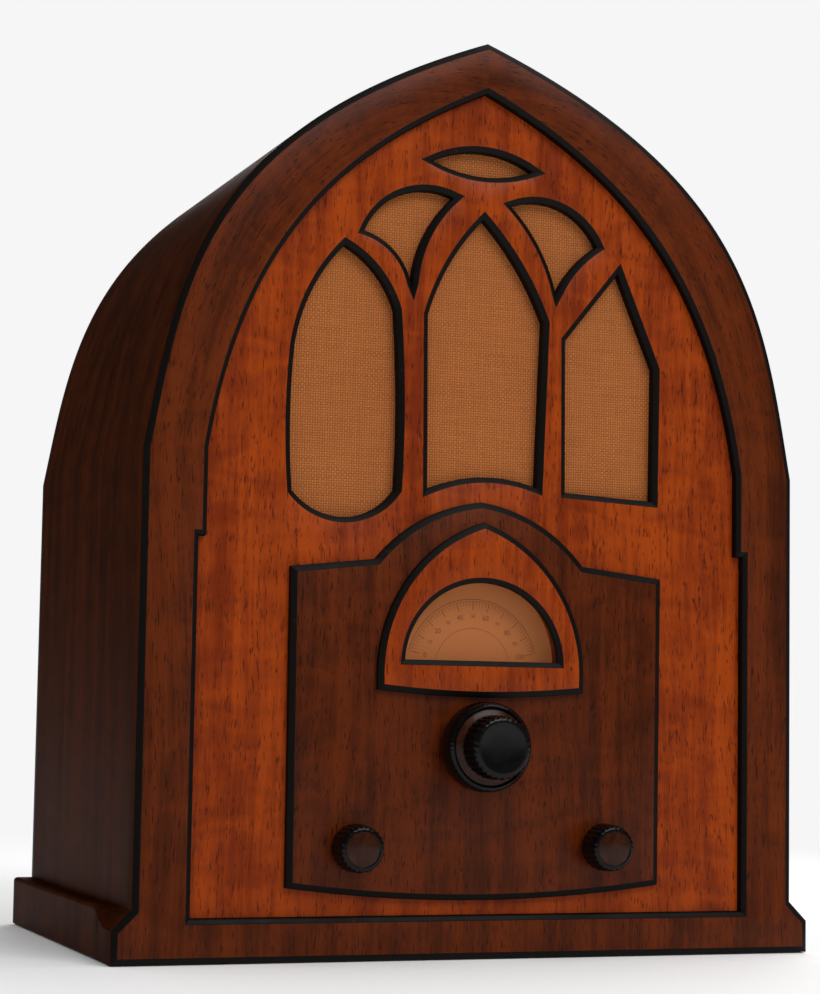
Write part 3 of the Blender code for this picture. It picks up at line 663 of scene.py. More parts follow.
def card_stock(name, first, second, roughness=0.7, glow=0.0):
    """Smooth matt sheet with a faint fibre and age tone; glow is painted light: an emission that lifts the
    shade on the sheet, in place of light let through from behind.
    """
    g = Graph(name, roughness=roughness, Specular_IOR_Level=0.2)
    if glow:
        g.shader.inputs["Emission Color"].default_value = (*first, 1)
        g.shader.inputs["Emission Strength"].default_value = glow
    place = g.place()
    age = g.noise(place, 35.0, 4.0, 0.6)
    fibre = g.noise(g.vector("MULTIPLY", place, (900.0, 900.0, 1600.0)), 1.0, 2.0)
    g.colour(g.mix(g.math("MULTIPLY_ADD", fibre, 0.4, g.math("MULTIPLY", age, 0.6)), first, second))
    g.roughness(g.math("MULTIPLY_ADD", age, 0.15, roughness - 0.08))
    g.bump(fibre, 0.00003, 0.5)
    return g.material


def plywood(name, dark=srgb(122, 84, 48), light=srgb(170, 126, 80)):
    """Bare birch ply: pale rotary-cut face with darker layer lines on its edges."""
    g = Graph(name, roughness=0.75, Specular_IOR_Level=0.2)
    place = g.place()
    wavy = g.noise(g.vector("MULTIPLY", place, (26.0, 26.0, 3.0)), 1.0, 4.0, 0.6, 0.9)
    fibre = g.noise(g.vector("MULTIPLY", place, (900.0, 900.0, 40.0)), 1.0, 3.0)
    tone = g.math("MULTIPLY_ADD", fibre, 0.3, g.math("MULTIPLY", wavy, 0.7))
    g.colour(g.mix(g.remap(tone, 0.35, 0.68), dark, light))
    g.bump(fibre, 0.00008, 0.6)
    return g.material


def glass(name, tint, alpha, rim_alpha):
    """Thin clear glass with faint smears."""
    g = Graph(name, Specular_IOR_Level=0.5)
    smear = g.noise(g.place(), 60.0, 4.0, 0.6, 1.0)
    edge = g.add("LayerWeight")
    edge.inputs["Blend"].default_value = 0.5
    rim = g.math("POWER", edge.outputs["Facing"], 3.0)
    g.plug(g.shader.inputs["Alpha"], g.math("MULTIPLY_ADD", rim, rim_alpha, alpha))
    g.roughness(g.math("MULTIPLY_ADD", smear, 0.08, 0.02))
    g.colour(g.mix(smear, tint, tuple(channel * 0.9 for channel in tint)))
    return g.material


# ---------------------------------------------------------------- materials

FRAME_WOOD = walnut("frame_walnut", srgb(58, 19, 0), srgb(94, 35, 1), bend=True, seed=0.11)
PANEL_WOOD = walnut("panel_walnut", srgb(108, 34, 0), srgb(150, 58, 1), seed=0.31, figure=1.3)
OVERLAY_WOOD = walnut("overlay_walnut", srgb(58, 19, 0), srgb(90, 33, 1), seed=0.57, figure=1.2)
ESCUTCHEON_WOOD = walnut("escutcheon_walnut", srgb(112, 36, 0), srgb(150, 58, 1), seed=0.83, figure=1.1)
# The bent sides, the base rails and the frame's outer wall get a darker copy of the frame's walnut: painted
# shade for the faces that turn away from the key light.
PAINTED_SHADE_SIDE_WOOD = walnut(
    "side_walnut_painted_shade", srgb(42, 14, 0), srgb(66, 25, 2), seed=0.23, gloss=0.5, shine=0.008, coat=0.008,
)
EDGE = ebonised("ebonised_edge")
PLY = plywood("birch_plywood")
CLOTH = grille_weave("grille_weave")
BROWN = bakelite("brown_bakelite", srgb(40, 15, 3), srgb(62, 26, 8))
BLACK = bakelite("black_bakelite", srgb(6, 5, 5), srgb(13, 11, 11), 0.2)
STEEL = metal("plated_steel", srgb(168, 166, 156), srgb(120, 112, 94))
SHAFT_STEEL = metal("bright_steel", srgb(176, 176, 174), srgb(140, 136, 128), 0.28, (900.0, 60.0, 900.0))
ALUMINIUM = metal("drawn_aluminium", srgb(196, 196, 194), srgb(158, 156, 150), 0.33, (1200.0, 1200.0, 60.0))
BRASS = metal("aged_brass", srgb(190, 146, 74), srgb(116, 84, 40), 0.32)
IRON = enamel("black_enamel", srgb(20, 20, 21))
CRACKLE = enamel("wrinkle_enamel", srgb(26, 25, 25), 0.5, True)
PAPER = enamel("cone_paper", srgb(50, 44, 38), 0.85, True)
RUBBER = enamel("black_rubber", srgb(18, 18, 18), 0.7)
LAMINATION = enamel("varnished_laminations", srgb(44, 38, 34), 0.45)
ANODE = enamel("carbonised_nickel", srgb(46, 46, 48), 0.55)
DARK_PLY = plywood("inner_ply", srgb(96, 62, 34), srgb(128, 88, 52))
# The card and its ink glow faintly: painted light that lifts the shade the dial window's walls cast on them.
CARD = card_stock("dial_card_stock", srgb(164, 96, 49), srgb(178, 107, 57), glow=0.28)
INK = card_stock("dial_ink", srgb(100, 54, 26), srgb(112, 62, 31), glow=0.28)
MICA = card_stock("mica", srgb(190, 176, 146), srgb(214, 204, 180))
CERAMIC = card_stock("glazed_ceramic", srgb(220, 214, 200), srgb(232, 228, 216), 0.25)
GETTER = metal("getter_mirror", srgb(150, 146, 140), srgb(96, 88, 80), 0.12, patches=90.0)
WINDOW = glass("dial_glass", (0.05, 0.052, 0.05), 0.07, 0.2)
BULB = glass("valve_glass", (0.32, 0.33, 0.32), 0.14, 0.55)


# ---------------------------------------------------------------- cabinet pieces

def chamfer_profile(back, front, width=3.0, fall=1.5):
    """Square wall, small round, black-stained chamfer, small round, then the face."""
    foot = front + fall
    return [
        (0.0, back, 1), (0.0, foot + 0.35, 1), (0.12, foot + 0.08, 1), (0.4, foot - 0.12, 1),
        (width - 0.5, front + 0.22, 1), (width - 0.18, front + 0.07, 1), (width, front, 0),
    ]


def plain_holes(radius, front, back):
    """The three shaft holes and the dial's cutout, with square walls."""
    wall = [(0.0, back, 0), (0.0, front, 0)]
    holes = [(circle(radius, x, z), wall) for x, z in SHAFT_PLACES]
    return holes + [(half_disc(CUTOUT_RADIUS, DIAL_SILL), wall)]


def make_front_frame():
    """The arch and base in one piece, with black chamfers round its edge and its stepped opening."""
    front, back = depths("front_frame")
    side = [(BASE_HALF, 0), (BASE_HALF, BASE_EDGE_TOP), (BODY_HALF, BASE_TOP)] + arch_side(OUTER_ARCH)
    # The frame's outer wall (slot 2) takes the darker side walnut, which is painted shade.
    rim = [(0.0, back, 2)] + chamfer_profile(back, front)[1:]
    opening = (frame_opening(), chamfer_profile(back, front, 2.4, 1.2))
    bm = moulded(mirrored(side), rim, [opening], back_slot=1)
    new_piece("front_frame_wood", bm, [FRAME_WOOD, EDGE, PAINTED_SHADE_SIDE_WOOD], "front_frame")


def make_front_panel():
    """The panel behind the frame, with the fret's six openings."""
    front, back = depths("front_panel")
    holes = [(outline(opening), chamfer_profile(back, front, 2.8)) for opening in FRET_OPENINGS]
    holes += plain_holes(6, front, back)
    bm = moulded(frame_opening(GAP), [(0.0, back, 0), (0.0, front, 0)], holes)
    new_piece("fretted_panel", bm, [PANEL_WOOD, EDGE], "front_panel")


def make_control_panel():
    """The darker panel that carries the dial and the knobs."""
    front, back = depths("control_panel")
    bm = moulded(outline(OVERLAY_OUTLINE), chamfer_profile(back, front), plain_holes(5.5, front, back))
    new_piece("applied_control_panel", bm, [OVERLAY_WOOD, EDGE], "control_panel")


def make_escutcheon():
    """The lighter pointed surround of the dial."""
    front, back = depths("dial_escutcheon")
    window = outline([(DIAL_HALF, DIAL_Z, DIAL_RISE), (-DIAL_HALF, DIAL_Z, 0)], 72)
    hole = (window, chamfer_profile(back, front, 2.6, 1.2))
    bm = moulded(outline(ESCUTCHEON_OUTLINE), chamfer_profile(back, front, 2.9, 1.3), [hole])
    new_piece("carved_escutcheon", bm, [ESCUTCHEON_WOOD, EDGE], "dial_escutcheon")


def make_shells():
    """Bent plywood sides: walnut outside, a blackened rear edge whose layers show, bare ply inside."""
    thickness = 7
    front, back = depths("shell_left")
    front -= 0.2               # nearly closes the gap behind the front frame
    ridge = 0.02               # half the seam along the ridge
    section = [
        (0, front, 0), (0, back - 5.2, 1), (0, back - 1.4, 1), (0.4, back - 0.4, 1), (1.4, back, 2),
        (2.5, back, 3), (3.4, back, 2), (4.5, back, 3), (5.4, back, 2), (thickness - 0.6, back, 2),
        (thickness, back - 0.6, 2), (thickness, front, 1),
    ]
    for side, sign in (("left", -1), ("right", 1)):
        bm = bmesh.new()
        skins = []
        for inset, depth, _ in section:
            shape = [(BODY_HALF - inset, 0)] + arch_side(OUTER_ARCH, inset, ridge)
            skins.append([bm.verts.new((sign * x, depth, z)) for x, z in shape])
        shortest = min(len(skin) for skin in skins)
        for skin in skins:
            for vert in skin[shortest - 1:-1]:
                bm.verts.remove(vert)
            skin[shortest - 1:] = skin[-1:]
        for first, second, (_, _, slot) in zip(skins, skins[1:] + skins[:1], section):
            for i in range(shortest - 1):
                face = bm.faces.new((first[i], first[i + 1], second[i + 1], second[i]))
                face.material_index = slot
        for end in (0, shortest - 1):
            bm.faces.new([skin[end] for skin in skins])
        # The outer skin takes the darker side walnut, which is painted shade.
        materials = [PAINTED_SHADE_SIDE_WOOD, EDGE, PLY, DARK_PLY]
        new_piece(f"bent_side_{side}", bm, materials, f"shell_{side}")


def rail_section(inner, outer, top, ease):
    """The base rail's section: the frame's slope where ease is 0, a rounded ledge where it is 1."""
    nose = 2.0
    steps, nose_steps = 10, 6
    upper = []
    for i in range(steps + 1):
        slope = Vector((outer, BASE_EDGE_TOP)).lerp(Vector((inner, top)), i / steps)
        turn = min(i / nose_steps, 1) * math.pi / 2
        ledge = Vector((outer - nose + nose * math.cos(turn), top - nose + nose * math.sin(turn)))
        if i > nose_steps:
            flat = (i - nose_steps) / (steps - nose_steps)
            ledge = Vector((outer - nose, top)).lerp(Vector((inner, top)), flat)
        upper.append(tuple(slope.lerp(ledge, ease)))
    return [(inner, 0), (outer - 0.6, 0), (outer, 0.6)] + upper


def make_base_mouldings():
    """Rails along the sides; their ledge dies into the frame's slope with a lamb's tongue."""
    for side, sign in (("left", -1), ("right", 1)):
        node = f"base_moulding_{side}"
        inner, outer, top = BODY_HALF + GAP, BASE_HALF, high(node).z
        front, back = depths(node)
        tongue_start, tongue_length, steps = front + 3, 22, 14
        stations = [(front, 0.0, 0.0)]
        for i in range(steps + 1):
            t = i / steps
            stations.append((tongue_start + tongue_length * t, t * t * (3 - 2 * t), 0.0))
        stations += [(back - 3.4, 1.0, 0.0), (back - 0.8, 1.0, 0.0), (back, 1.0, 0.8)]
        bm = bmesh.new()
        rings = []
        for depth, ease, shrink in stations:
            ring = []
            for x, z in rail_section(inner, outer, top, ease):
                if shrink and x > inner + 1:
                    x, z = x - shrink, min(z, top - shrink)
                ring.append(bm.verts.new((sign * x, depth, z)))
            rings.append(ring)
        for i, (first, second) in enumerate(zip(rings, rings[1:])):
            bridge(bm, first, second, 1 if i >= len(rings) - 3 else 0)
        bmesh.ops.poke(bm, faces=[bm.faces.new(rings[0]), bm.faces.new(rings[-1])])
        # The rails take the darker side walnut, which is painted shade.
        new_piece(f"base_rail_{side}", bm, [PAINTED_SHADE_SIDE_WOOD, EDGE], node)


def width_at(side, z):
    """Half the width of an outline's right-hand side at a height."""
    for (x0, z0), (x1, z1) in zip(side, side[1:]):
        if z0 <= z <= z1 + 1e-6:
            return x0 + (x1 - x0) * (z - z0) / max(z1 - z0, 1e-9)
    return side[-1][0]


def make_grille_cloth():
    """A stretched sheet in rows that follow the arch, drawn slightly into the speaker opening."""
    front = low("grille_cloth").y
    bottom, top = heights("grille_cloth")
    half = high("grille_cloth").x
    side = [(half, bottom)] + arch_side(INNER_ARCH, 2)
    rows, columns = 60, 72
    sag, sag_radius, sag_centre = 0.22, 82, middle("speaker_cone").z
    bm = bmesh.new()
    grid = []
    for i in range(rows + 1):
        z = bottom + (top - bottom) * (i / rows) ** 0.9
        reach = width_at(side, z)
        row = []
        for j in range(columns + 1):
            x = reach * (2 * j / columns - 1)
            from_centre = math.hypot(x, z - sag_centre)
            hollow = sag * max(0.0, 1 - (from_centre / sag_radius) ** 2)
            row.append(bm.verts.new((x, front + 0.05 + hollow, z)))
        grid.append(row)
    for lower, upper in zip(grid, grid[1:]):
        for j in range(columns):
            bm.faces.new([lower[j], lower[j + 1], upper[j + 1], upper[j]])
    bmesh.ops.remove_doubles(bm, verts=bm.verts[:], dist=0.01)
    piece = new_piece("woven_grille_cloth", bm, [CLOTH], "grille_cloth")
    thicken(piece, 0.22)


# ---------------------------------------------------------------- dial

def make_dial():
    """Glass, a printed card with a plain 0 to 100 scale, and a thin steel pointer."""
    front = low("dial_window").y
    rim = [(0.0, front + 1.4, 0), (0.0, front + 0.3, 0), (0.1, front + 0.1, 0), (0.3, front, 0)]
    lens = moulded(half_disc(CUTOUT_RADIUS - 1, DIAL_SILL + 1), rim)
    new_piece("dial_glass_window", lens, [WINDOW], "dial_window")

    front, back = depths("dial_scale")
    edge = [(0.0, back, 0), (0.0, front + 0.1, 0), (0.1, front, 0)]
    shaft_hole = (circle(BORE, 0, PIVOT_Z, 32), [(0.0, back, 0), (0.0, front, 0)])
    card = moulded(half_disc(CUTOUT_RADIUS + 4, DIAL_SILL), edge, [shaft_hole])
    new_piece("dial_card", card, [CARD], "dial_scale")
    make_dial_printing(front - 0.02)

    node = "dial_pointer"
    hub, reach, front = 3.7, -low(node).x, low(node).y + 0.2
    collar = [
        (front, BORE), (front, hub - 0.15), (front + 0.15, hub), (front + 0.8, hub), (front + 0.8, BORE),
    ]
    blade = bmesh.new()
    near_end, taper = 0.15 - hub, 1.5 - reach
    ring = [(near_end, -0.75), (near_end, 0.75), (taper, 0.32), (-reach, 0), (taper, -0.32)]
    near = ring_of(blade, ring, front + 0.15)
    far = ring_of(blade, ring, front + 0.65)
    bridge(blade, near, far)
    blade.faces.new(near)
    blade.faces.new(far)
    needle = gather([(lathe(collar, 48), 0), (blade, 0)])
    new_piece("dial_needle", needle, [IRON], node, "gang", (0, 0, PIVOT_Z))


def make_dial_printing(depth):
    """Fine printed arcs, ticks and numbers, 0 to 100 clockwise."""
    bm = bmesh.new()
    centre = Vector((0, PIVOT_Z))
    low_angle, high_angle = math.radians(14), math.radians(166)
    sweep = low_angle - high_angle
    tick_radius, number_radius = 32.6, 25.4

    def strip(points_in, points_out):
        inner, outer = ring_of(bm, points_in, depth), ring_of(bm, points_out, depth)
        for i in range(len(inner) - 1):
            bm.faces.new((inner[i], outer[i], outer[i + 1], inner[i + 1]))

    def on_arc(radius, angle):
        return centre + radius * Vector((math.cos(angle), math.sin(angle)))

    turns = [low_angle + (high_angle - low_angle) * i / 90 for i in range(91)]
    for radius, width in ((33.6, 0.3), (tick_radius, 0.15), (19.5, 0.2)):
        strip([on_arc(radius, turn) for turn in turns], [on_arc(radius + width, turn) for turn in turns])
    for i in range(51):
        turn = high_angle + sweep * i / 50
        length, half = (4.0, 0.16) if i % 5 == 0 else (2.2, 0.09)
        sideways = half * Vector((-math.sin(turn), math.cos(turn)))
        start, end = on_arc(tick_radius - length, turn), on_arc(tick_radius, turn)
        strip([start - sideways, end - sideways], [start + sideways, end + sideways])
    for i in range(11):
        size = 3.4 if i % 2 == 0 else 2.4
        add_number(bm, str(10 * i), on_arc(number_radius, high_angle + sweep * i / 10), size, depth)
    piece = new_piece("dial_printing", bm, [INK])
    piece.data.shade_flat()
    thicken(piece, 0.01)


def add_number(bm, text, place, size, depth):
    """Lay a number's flat letter shapes into the printing's mesh, centred on a place."""
    curve = bpy.data.curves.new("number", "FONT")
    curve.body = text
    curve.size = size
    curve.align_x = "CENTER"
    curve.align_y = "CENTER"
    writer = bpy.data.objects.new("number", curve)
    bpy.context.collection.objects.link(writer)
    bpy.context.view_layer.update()
    shape = bpy.data.meshes.new_from_object(writer.evaluated_get(bpy.context.evaluated_depsgraph_get()))
    shape.transform(Matrix.Rotation(math.pi / 2, 4, "X"))
    shape.transform(Matrix.Translation((place.x, depth, place.y)))
    bm.from_mesh(shape)
    bpy.data.meshes.remove(shape)
    bpy.data.objects.remove(writer, do_unlink=True)
    bpy.data.curves.remove(curve)


def make_lamp():
    """A screw-base pilot lamp."""
    node = "dial_lamp"
    bottom, top = heights(node)
    bulb = about(
        bottom, 0, (0, 0), (0.3, 1.6), (1.1, 3.2), (2.4, 4.5), (4.2, 5.3), (6, 5.5), (8, 5.2), (10, 4.6),
        (12, 4.25), (14, 4.2), (14, 0),
    )
    cap = about(bottom, 0, (13.2, 0), (13.2, 4.3))
    for i in range(5):
        z = bottom + 14.4 + 1.4 * i
        cap += [(z, 4.4), (z + 0.7, 3.9)]
    cap += [(top, 3.9), (top, 0)]
    parts = [(lathe(bulb, 64, upright=True), 0), (lathe(cap, 48, upright=True), 1)]
    for x in (-1.4, 1.4):
        parts.append((pin(0.18, bottom + 5.0, bottom + 13.5, 8, 0.05), 2, (x, 0, 0)))
    materials = [BULB, BRASS, SHAFT_STEEL]
    new_piece("pilot_lamp", gather(parts), materials, node, place=upright_at(node), sharp=50)


# ---------------------------------------------------------------- knobs

def make_tuning_knob():
    """A wide brown skirt with a black rim, and a fluted black cap on it."""
    node = "tuning_knob_skirt"
    place = level_at(node)
    front, back = depths(node)
    rim = radius_of(node)
    skirt = [
        (back, BORE, 0, 1), *about(back, rim, (0, -1.2, 0, 1), (-0.4, -0.4, 0.3, 1), (-1.2, 0, 1, 1)),
        *about(
            front, rim, (4.2, 0, 1, 1), (2.2, -0.4, 0.7, 1), (0.9, -1.3, 0.2, 1), (0.25, -2.3, 0, 1),
            (0.5, -3.1, 0, 1), (1.2, -3.5), (0.9, -4.6), (0.25, -6.0), (0, -7.0),
        ),
        (front, BORE),
    ]
    bm = lathe(skirt, 240, 60, 0.45)
    new_piece(node + "_moulded", bm, [BROWN, BLACK], node, "tuning", place, 50)

    node = "tuning_knob_cap"
    front, back = depths(node)
    rim = radius_of(node)
    bore_end = low("tuning_shaft").y - 0.5
    cap = [
        (back, BORE), *about(back, rim, (0, -0.6, 0.2), (-0.5, 0, 0.6), (-1.5, 0, 1)),
        *about(
            front, rim, (4.0, 0, 1), (2.2, -0.25, 0.8), (1.0, -0.9, 0.4), (0.35, -1.8, 0.1), (0.1, -3.0),
            (0.25, -4.2), (0.75, -6.0),
        ),
        (front + 1.0, 5.0), (front + 1.1, 0), (bore_end, 0), (bore_end, BORE),
    ]
    bm = lathe(cap, 240, 30, 0.9)
    new_piece(node + "_moulded", bm, [BLACK], node, "tuning", place, 50)


def make_small_knobs():
    """The two plain knobs, fluted and with a black back edge."""
    for kind in ("volume", "tone"):
        node = kind + "_knob"
        front, back = depths(node)
        rim = radius_of(node)
        bore_end = low(kind + "_shaft").y - 0.5
        knob = [
            (back, BORE, 0, 1),
            *about(back, rim, (0, -0.9, 0, 1), (-0.5, -0.2, 0.4, 1), (-1.5, 0, 1, 1)),
            *about(
                front, rim, (4.5, -0.3, 1, 1), (2.4, -0.55, 0.8, 1), (1.1, -1.2, 0.4, 1),
                (0.35, -2.1, 0.05, 1), (0.3, -2.9, 0, 1), (0.75, -3.3), (0.5, -4.4), (0.15, -6.5),
            ),
            (front, 2.0), (front, 0), (bore_end, 0), (bore_end, BORE, 0, 1),
        ]
        bm = lathe(knob, 192, 24, 0.7)
        new_piece(node + "_moulded", bm, [BROWN, BLACK], node, kind, level_at(node), 50)


# ---------------------------------------------------------------- chassis and what stands on it

DECK = high("chassis").z
DECK_FRONT, DECK_BACK = depths("chassis")
WORKS = [ANODE, MICA, SHAFT_STEEL, BULB]


def make_valve_socket(number, place, radius):
    """A laminated socket wafer on the deck, held by two rivets."""
    foot = DECK + 0.1
    wafer = tower([(foot, 0), (DECK + 2.0, 0), (DECK + 2.3, 0.3)], radius, radius * 0.94, radius * 0.9, 10)
    parts = [(wafer, 0)]
    for side in (-1, 1):
        ear = tower([(foot, 0), (DECK + 1.4, 0), (DECK + 1.7, 0.3)], 5, 4.2, 4, 6)
        parts.append((ear, 0, (side * (radius + 1.5), 0, 0)))
        head = [(0, 0), (0, 2.0), (0.5, 1.8), (0.9, 1.1), (1.0, 0)]
        parts.append((lathe(head, 20, upright=True), 1, (side * (radius + 2.4), 0, DECK + 1.6)))
    new_piece(f"valve_socket_{number}", gather(parts), [BROWN, BRASS], place=place)


def electrodes(low_z, high_z, reach, depth):
    """Anode box with pressed ribs, mica spacers, support rods and the glass press below."""
    count, plain_end = 4, 3
    ribs = about(low_z, 0, (plain_end - 1, 0.6), (plain_end, 0))
    for i in range(count):
        z = low_z + plain_end + (high_z - low_z - 2 * plain_end) * (i + 0.5) / count
        ribs += about(z, 0, (-1.4, 0), (-0.7, 0.7), (0.7, 0.7), (1.4, 0))
    ribs += about(high_z, 0, (-plain_end, 0), (1 - plain_end, 0.6))
    parts = [(tower(ribs, reach, depth, depth * 0.85, 8), 0)]
    for z in (low_z, high_z):
        plate = about(z, 0, (0, 0.15), (0.15, 0), (0.5, 0), (0.65, 0.15))
        parts.append((tower(plate, reach + 3.5, depth + 2.5, 4, 8), 1))
    for x in (-reach - 1.4, reach + 1.4):
        parts.append((pin(0.55, low_z - 12, high_z + 3, 10), 2, (x, 0, 0)))
    press = about(low_z, 0, (-18, 0), (-12, 0.5), (-8, 3), (-6, 4.5))
    return gather(parts + [(tower(press, 11, 7, 5, 8), 3)])


def make_power_valve(name, number):
    """A large bare valve: bakelite base, domed envelope, getter flash and the works inside."""
    node = name + "_base"
    place = upright_at(node)
    bottom, top = heights(node)
    radius = radius_of(node)
    base = [
        (bottom, 0), *about(bottom, radius, (0, -1.6), (0.6, -0.8), (2.2, -0.5), (3.0, 0)),
        *about(top, radius, (-5.0, 0), (-4.4, -0.45), (-3.6, -0.45), (-3.0, 0)),
        *about(top, radius, (-0.9, 0), (-0.2, -0.7), (0, -1.6)), (top, 0),
    ]
    new_piece(node + "_moulded", lathe(base, upright=True), [BROWN], node, place=place)

    node = name + "_glass"
    foot = low(node).z
    envelope = about(
        foot, 0, (0, 0), (0, 14.6), (3, 15.2), (8, 16.1), (14, 18.6), (20, 21.0), (27, 22.6), (34, 23.0),
        (40, 22.7), (46, 21.4), (52, 18.8), (58, 16.2), (63, 14.7), (68, 13.8), (72, 12.4), (76, 9.8),
        (78.4, 6.2), (79.3, 2.8), (79.5, 0),
    )
    glass = lathe(envelope, upright=True)
    new_piece(name + "_envelope", glass, [BULB], node, place=place, sharp=80)
    works = electrodes(foot + 20, foot + 56, 10.5, 6.5)
    new_piece(name + "_works", works, WORKS, place=place)
    dome = [(z - 0.25, r - 0.5) for z, r in envelope[13:-1]] + [(foot + 79.1, 0)]
    flash = lathe(dome, 64, upright=True, closed=False)
    thicken(new_piece(name + "_getter_flash", flash, [GETTER], place=place), 0.12)
    make_valve_socket(number, place, 20.5)


def make_shielded_valve(number):
    """A screened valve in a slotted aluminium can, with its grid cap standing out of the mouth."""
    node = f"tube_shield_{number}"
    place = upright_at(node)
    bottom, top = heights(node)
    radius = radius_of(node)
    wall = about(
        bottom, radius, (0, 0.9), (1.2, 0.9), (2.0, -0.3), (12, -0.3), (13.2, 0.1), (14.4, -0.3), (40, -0.3),
        (41.2, 0.1), (42.4, -0.3), (50, -0.3), (66, -0.3),
    )
    wall += about(top, radius, (-8, -0.3), (-4, -0.9), (-1.4, -2.6), (-0.3, -5.2), (0, -8.0))
    wall += about(top, 12, (-0.3, 0), (-1.0, 0.2))
    slotted_strip = 9

    def in_slot(i):
        return i % 12 in (3, 4, 5)

    can = lathe(wall, upright=True, closed=False, skip_strip=slotted_strip, skip=in_slot)
    name = f"valve_shield_{number}"
    thicken(new_piece(name, can, [ALUMINIUM], node, place=place, sharp=50), 0.6)

    node = f"shielded_tube_{number}"
    foot, top = heights(node)
    envelope = about(
        foot, 0, (25.5, 0), (25.5, 14.8), (33, 14.5), (39, 16.6), (46, 18.6), (52, 19.1), (58, 18.4),
        (64, 15.2), (68, 13.0), (73, 12.2), (78, 10.4), (82, 7.2), (84, 4.8), (84, 0),
    )
    cap = about(foot, 0, (83.5, 0), (83.5, 5.0), (85, 4.7), (86, 3.9), (92.6, 3.7), (93.4, 4.3))
    cap += about(top, 0, (-0.8, 4.2), (0, 3.4), (0, 0))
    base = about(foot, 0, (0, 0), (0, 15), (1, 15.8), (25, 15.8), (26, 14.9), (26, 0))
    shapes = ((envelope, 72), (cap, 48), (base, 64))
    parts = [(lathe(shape, steps, upright=True), slot) for slot, (shape, steps) in enumerate(shapes)]
    materials = [BULB, ALUMINIUM, BROWN]
    new_piece(f"screened_valve_{number}", gather(parts), materials, node, place=place, sharp=60)
    works = electrodes(foot + 36, foot + 62, 8, 5)
    new_piece(f"screened_valve_works_{number}", works, WORKS, place=place)
    make_valve_socket(number + 2, place, 21.0)


def make_filter_can(number):
    """A drawn aluminium electrolytic with a rolled foot and a crimped, vented top."""
    node = f"filter_can_{number}"
    bottom, top = heights(node)
    radius = radius_of(node)
    profile = [
        (bottom, 0, 0, 1),
        *about(
            bottom, radius, (0, 0, 0, 1), (2.4, 0, 0, 1), (2.5, -0.6), (3.2, -0.1), (5.2, -0.1), (6.0, -0.9),
            (7.2, -0.9), (8.0, -0.2),
        ),
        *about(top, radius, (-2.2, -0.2), (-0.9, -0.6), (-0.2, -1.5), (0, -2.4), (-0.4, -3.4), (-1.6, -4.2)),
        *about(top, 0, (-1.8, 4.6), (-1.4, 4.0, 0, 1), (-0.9, 2.6, 0, 1), (-0.8, 0, 0, 1)),
    ]
    can = lathe(profile, upright=True)
    name, materials = f"electrolytic_{number}", [ALUMINIUM, RUBBER]
    new_piece(name, can, materials, node, place=upright_at(node), sharp=45)


def make_if_can(number):
    """A square screening can with a stepped lid and two trimmer screws."""
    node = f"if_can_{number}"
    bottom, top = heights(node)
    half = radius_of(node)
    profile = about(bottom, 0, (0, 0), (1.0, 0), (1.4, 0.35))
    profile += about(top, 0, (-8.4, 0.35), (-8.0, 0), (-2.0, 0))
    profile += about(top, 0, (-0.8, 0.35), (-0.2, 1.1), (0, 2.2), (-0.3, 3.6), (-0.9, 4.2))
    parts = [(tower(profile, half, half, 3.4, 8), 0)]
    for x in (-5.5, 5.5):
        ring = [(0, 3.2), (0.5, 3.2), (0.9, 2.7), (0.5, 2.3), (-0.4, 2.2)]
        parts.append((lathe(ring, 32, upright=True), 0, (x, 0, top - 0.9)))
        parts.append((screw_head(1.9, 0.8, 35 + 8 * x), None, (x, 0, top - 1.1)))
    name, materials = f"screening_can_{number}", [ALUMINIUM, IRON]
    new_piece(name, gather(parts), materials, node, place=upright_at(node))


def laminated(low_z, high_z, pitch=1.2):
    """Loft profile of a stack of iron laminations."""
    count = max(2, round((high_z - low_z) / pitch))
    groove = 0.12
    profile = []
    for i in range(count):
        start = low_z + (high_z - low_z) * i / count
        end = low_z + (high_z - low_z) * (i + 1) / count
        profile += about(start, 0, (0.05, groove), (0.2, 0)) + about(end, 0, (-0.2, 0), (-0.05, groove))
    return profile


def make_power_transformer():
    """Laminated core lying flat, with a drawn and wrinkle-painted end bell and four through bolts."""
    node = "power_transformer_core"
    place = upright_at(node)
    half = high(node) - middle(node)
    bottom, top = heights(node)
    parts = [(tower(laminated(bottom, top - 0.1), half.x, half.y, 0.8, 2), 0)]
    bolt_inset = 4.2
    for x in (bolt_inset - half.x, half.x - bolt_inset):
        for y in (bolt_inset - half.y, half.y - bolt_inset):
            parts.append((hexagon(3.4, 2.6), 1, (x, y, top - 0.1), 10 * x))
            parts.append((pin(1.7, top, top + 4.6), 1, (x, y, 0)))
    core = gather(parts)
    new_piece("transformer_core_laminated", core, [LAMINATION, STEEL], node, place=place)

    node = "power_transformer_shroud"
    half = high(node) - middle(node)
    bottom, top = heights(node)
    profile = about(bottom, 0, (0, -1.6), (1.0, -1.6), (1.5, -1.2), (2.2, 0.2), (4, 0.5)) + about(
        top, 0, (-9, 0.9), (-5, 1.8), (-2.6, 3.4), (-1.0, 5.8), (-0.3, 8.6), (0, 12.0),
    )
    bell = tower(profile, half.x, half.y, 10, 12)
    new_piece("transformer_end_bell", bell, [CRACKLE], node, place=place, sharp=50)


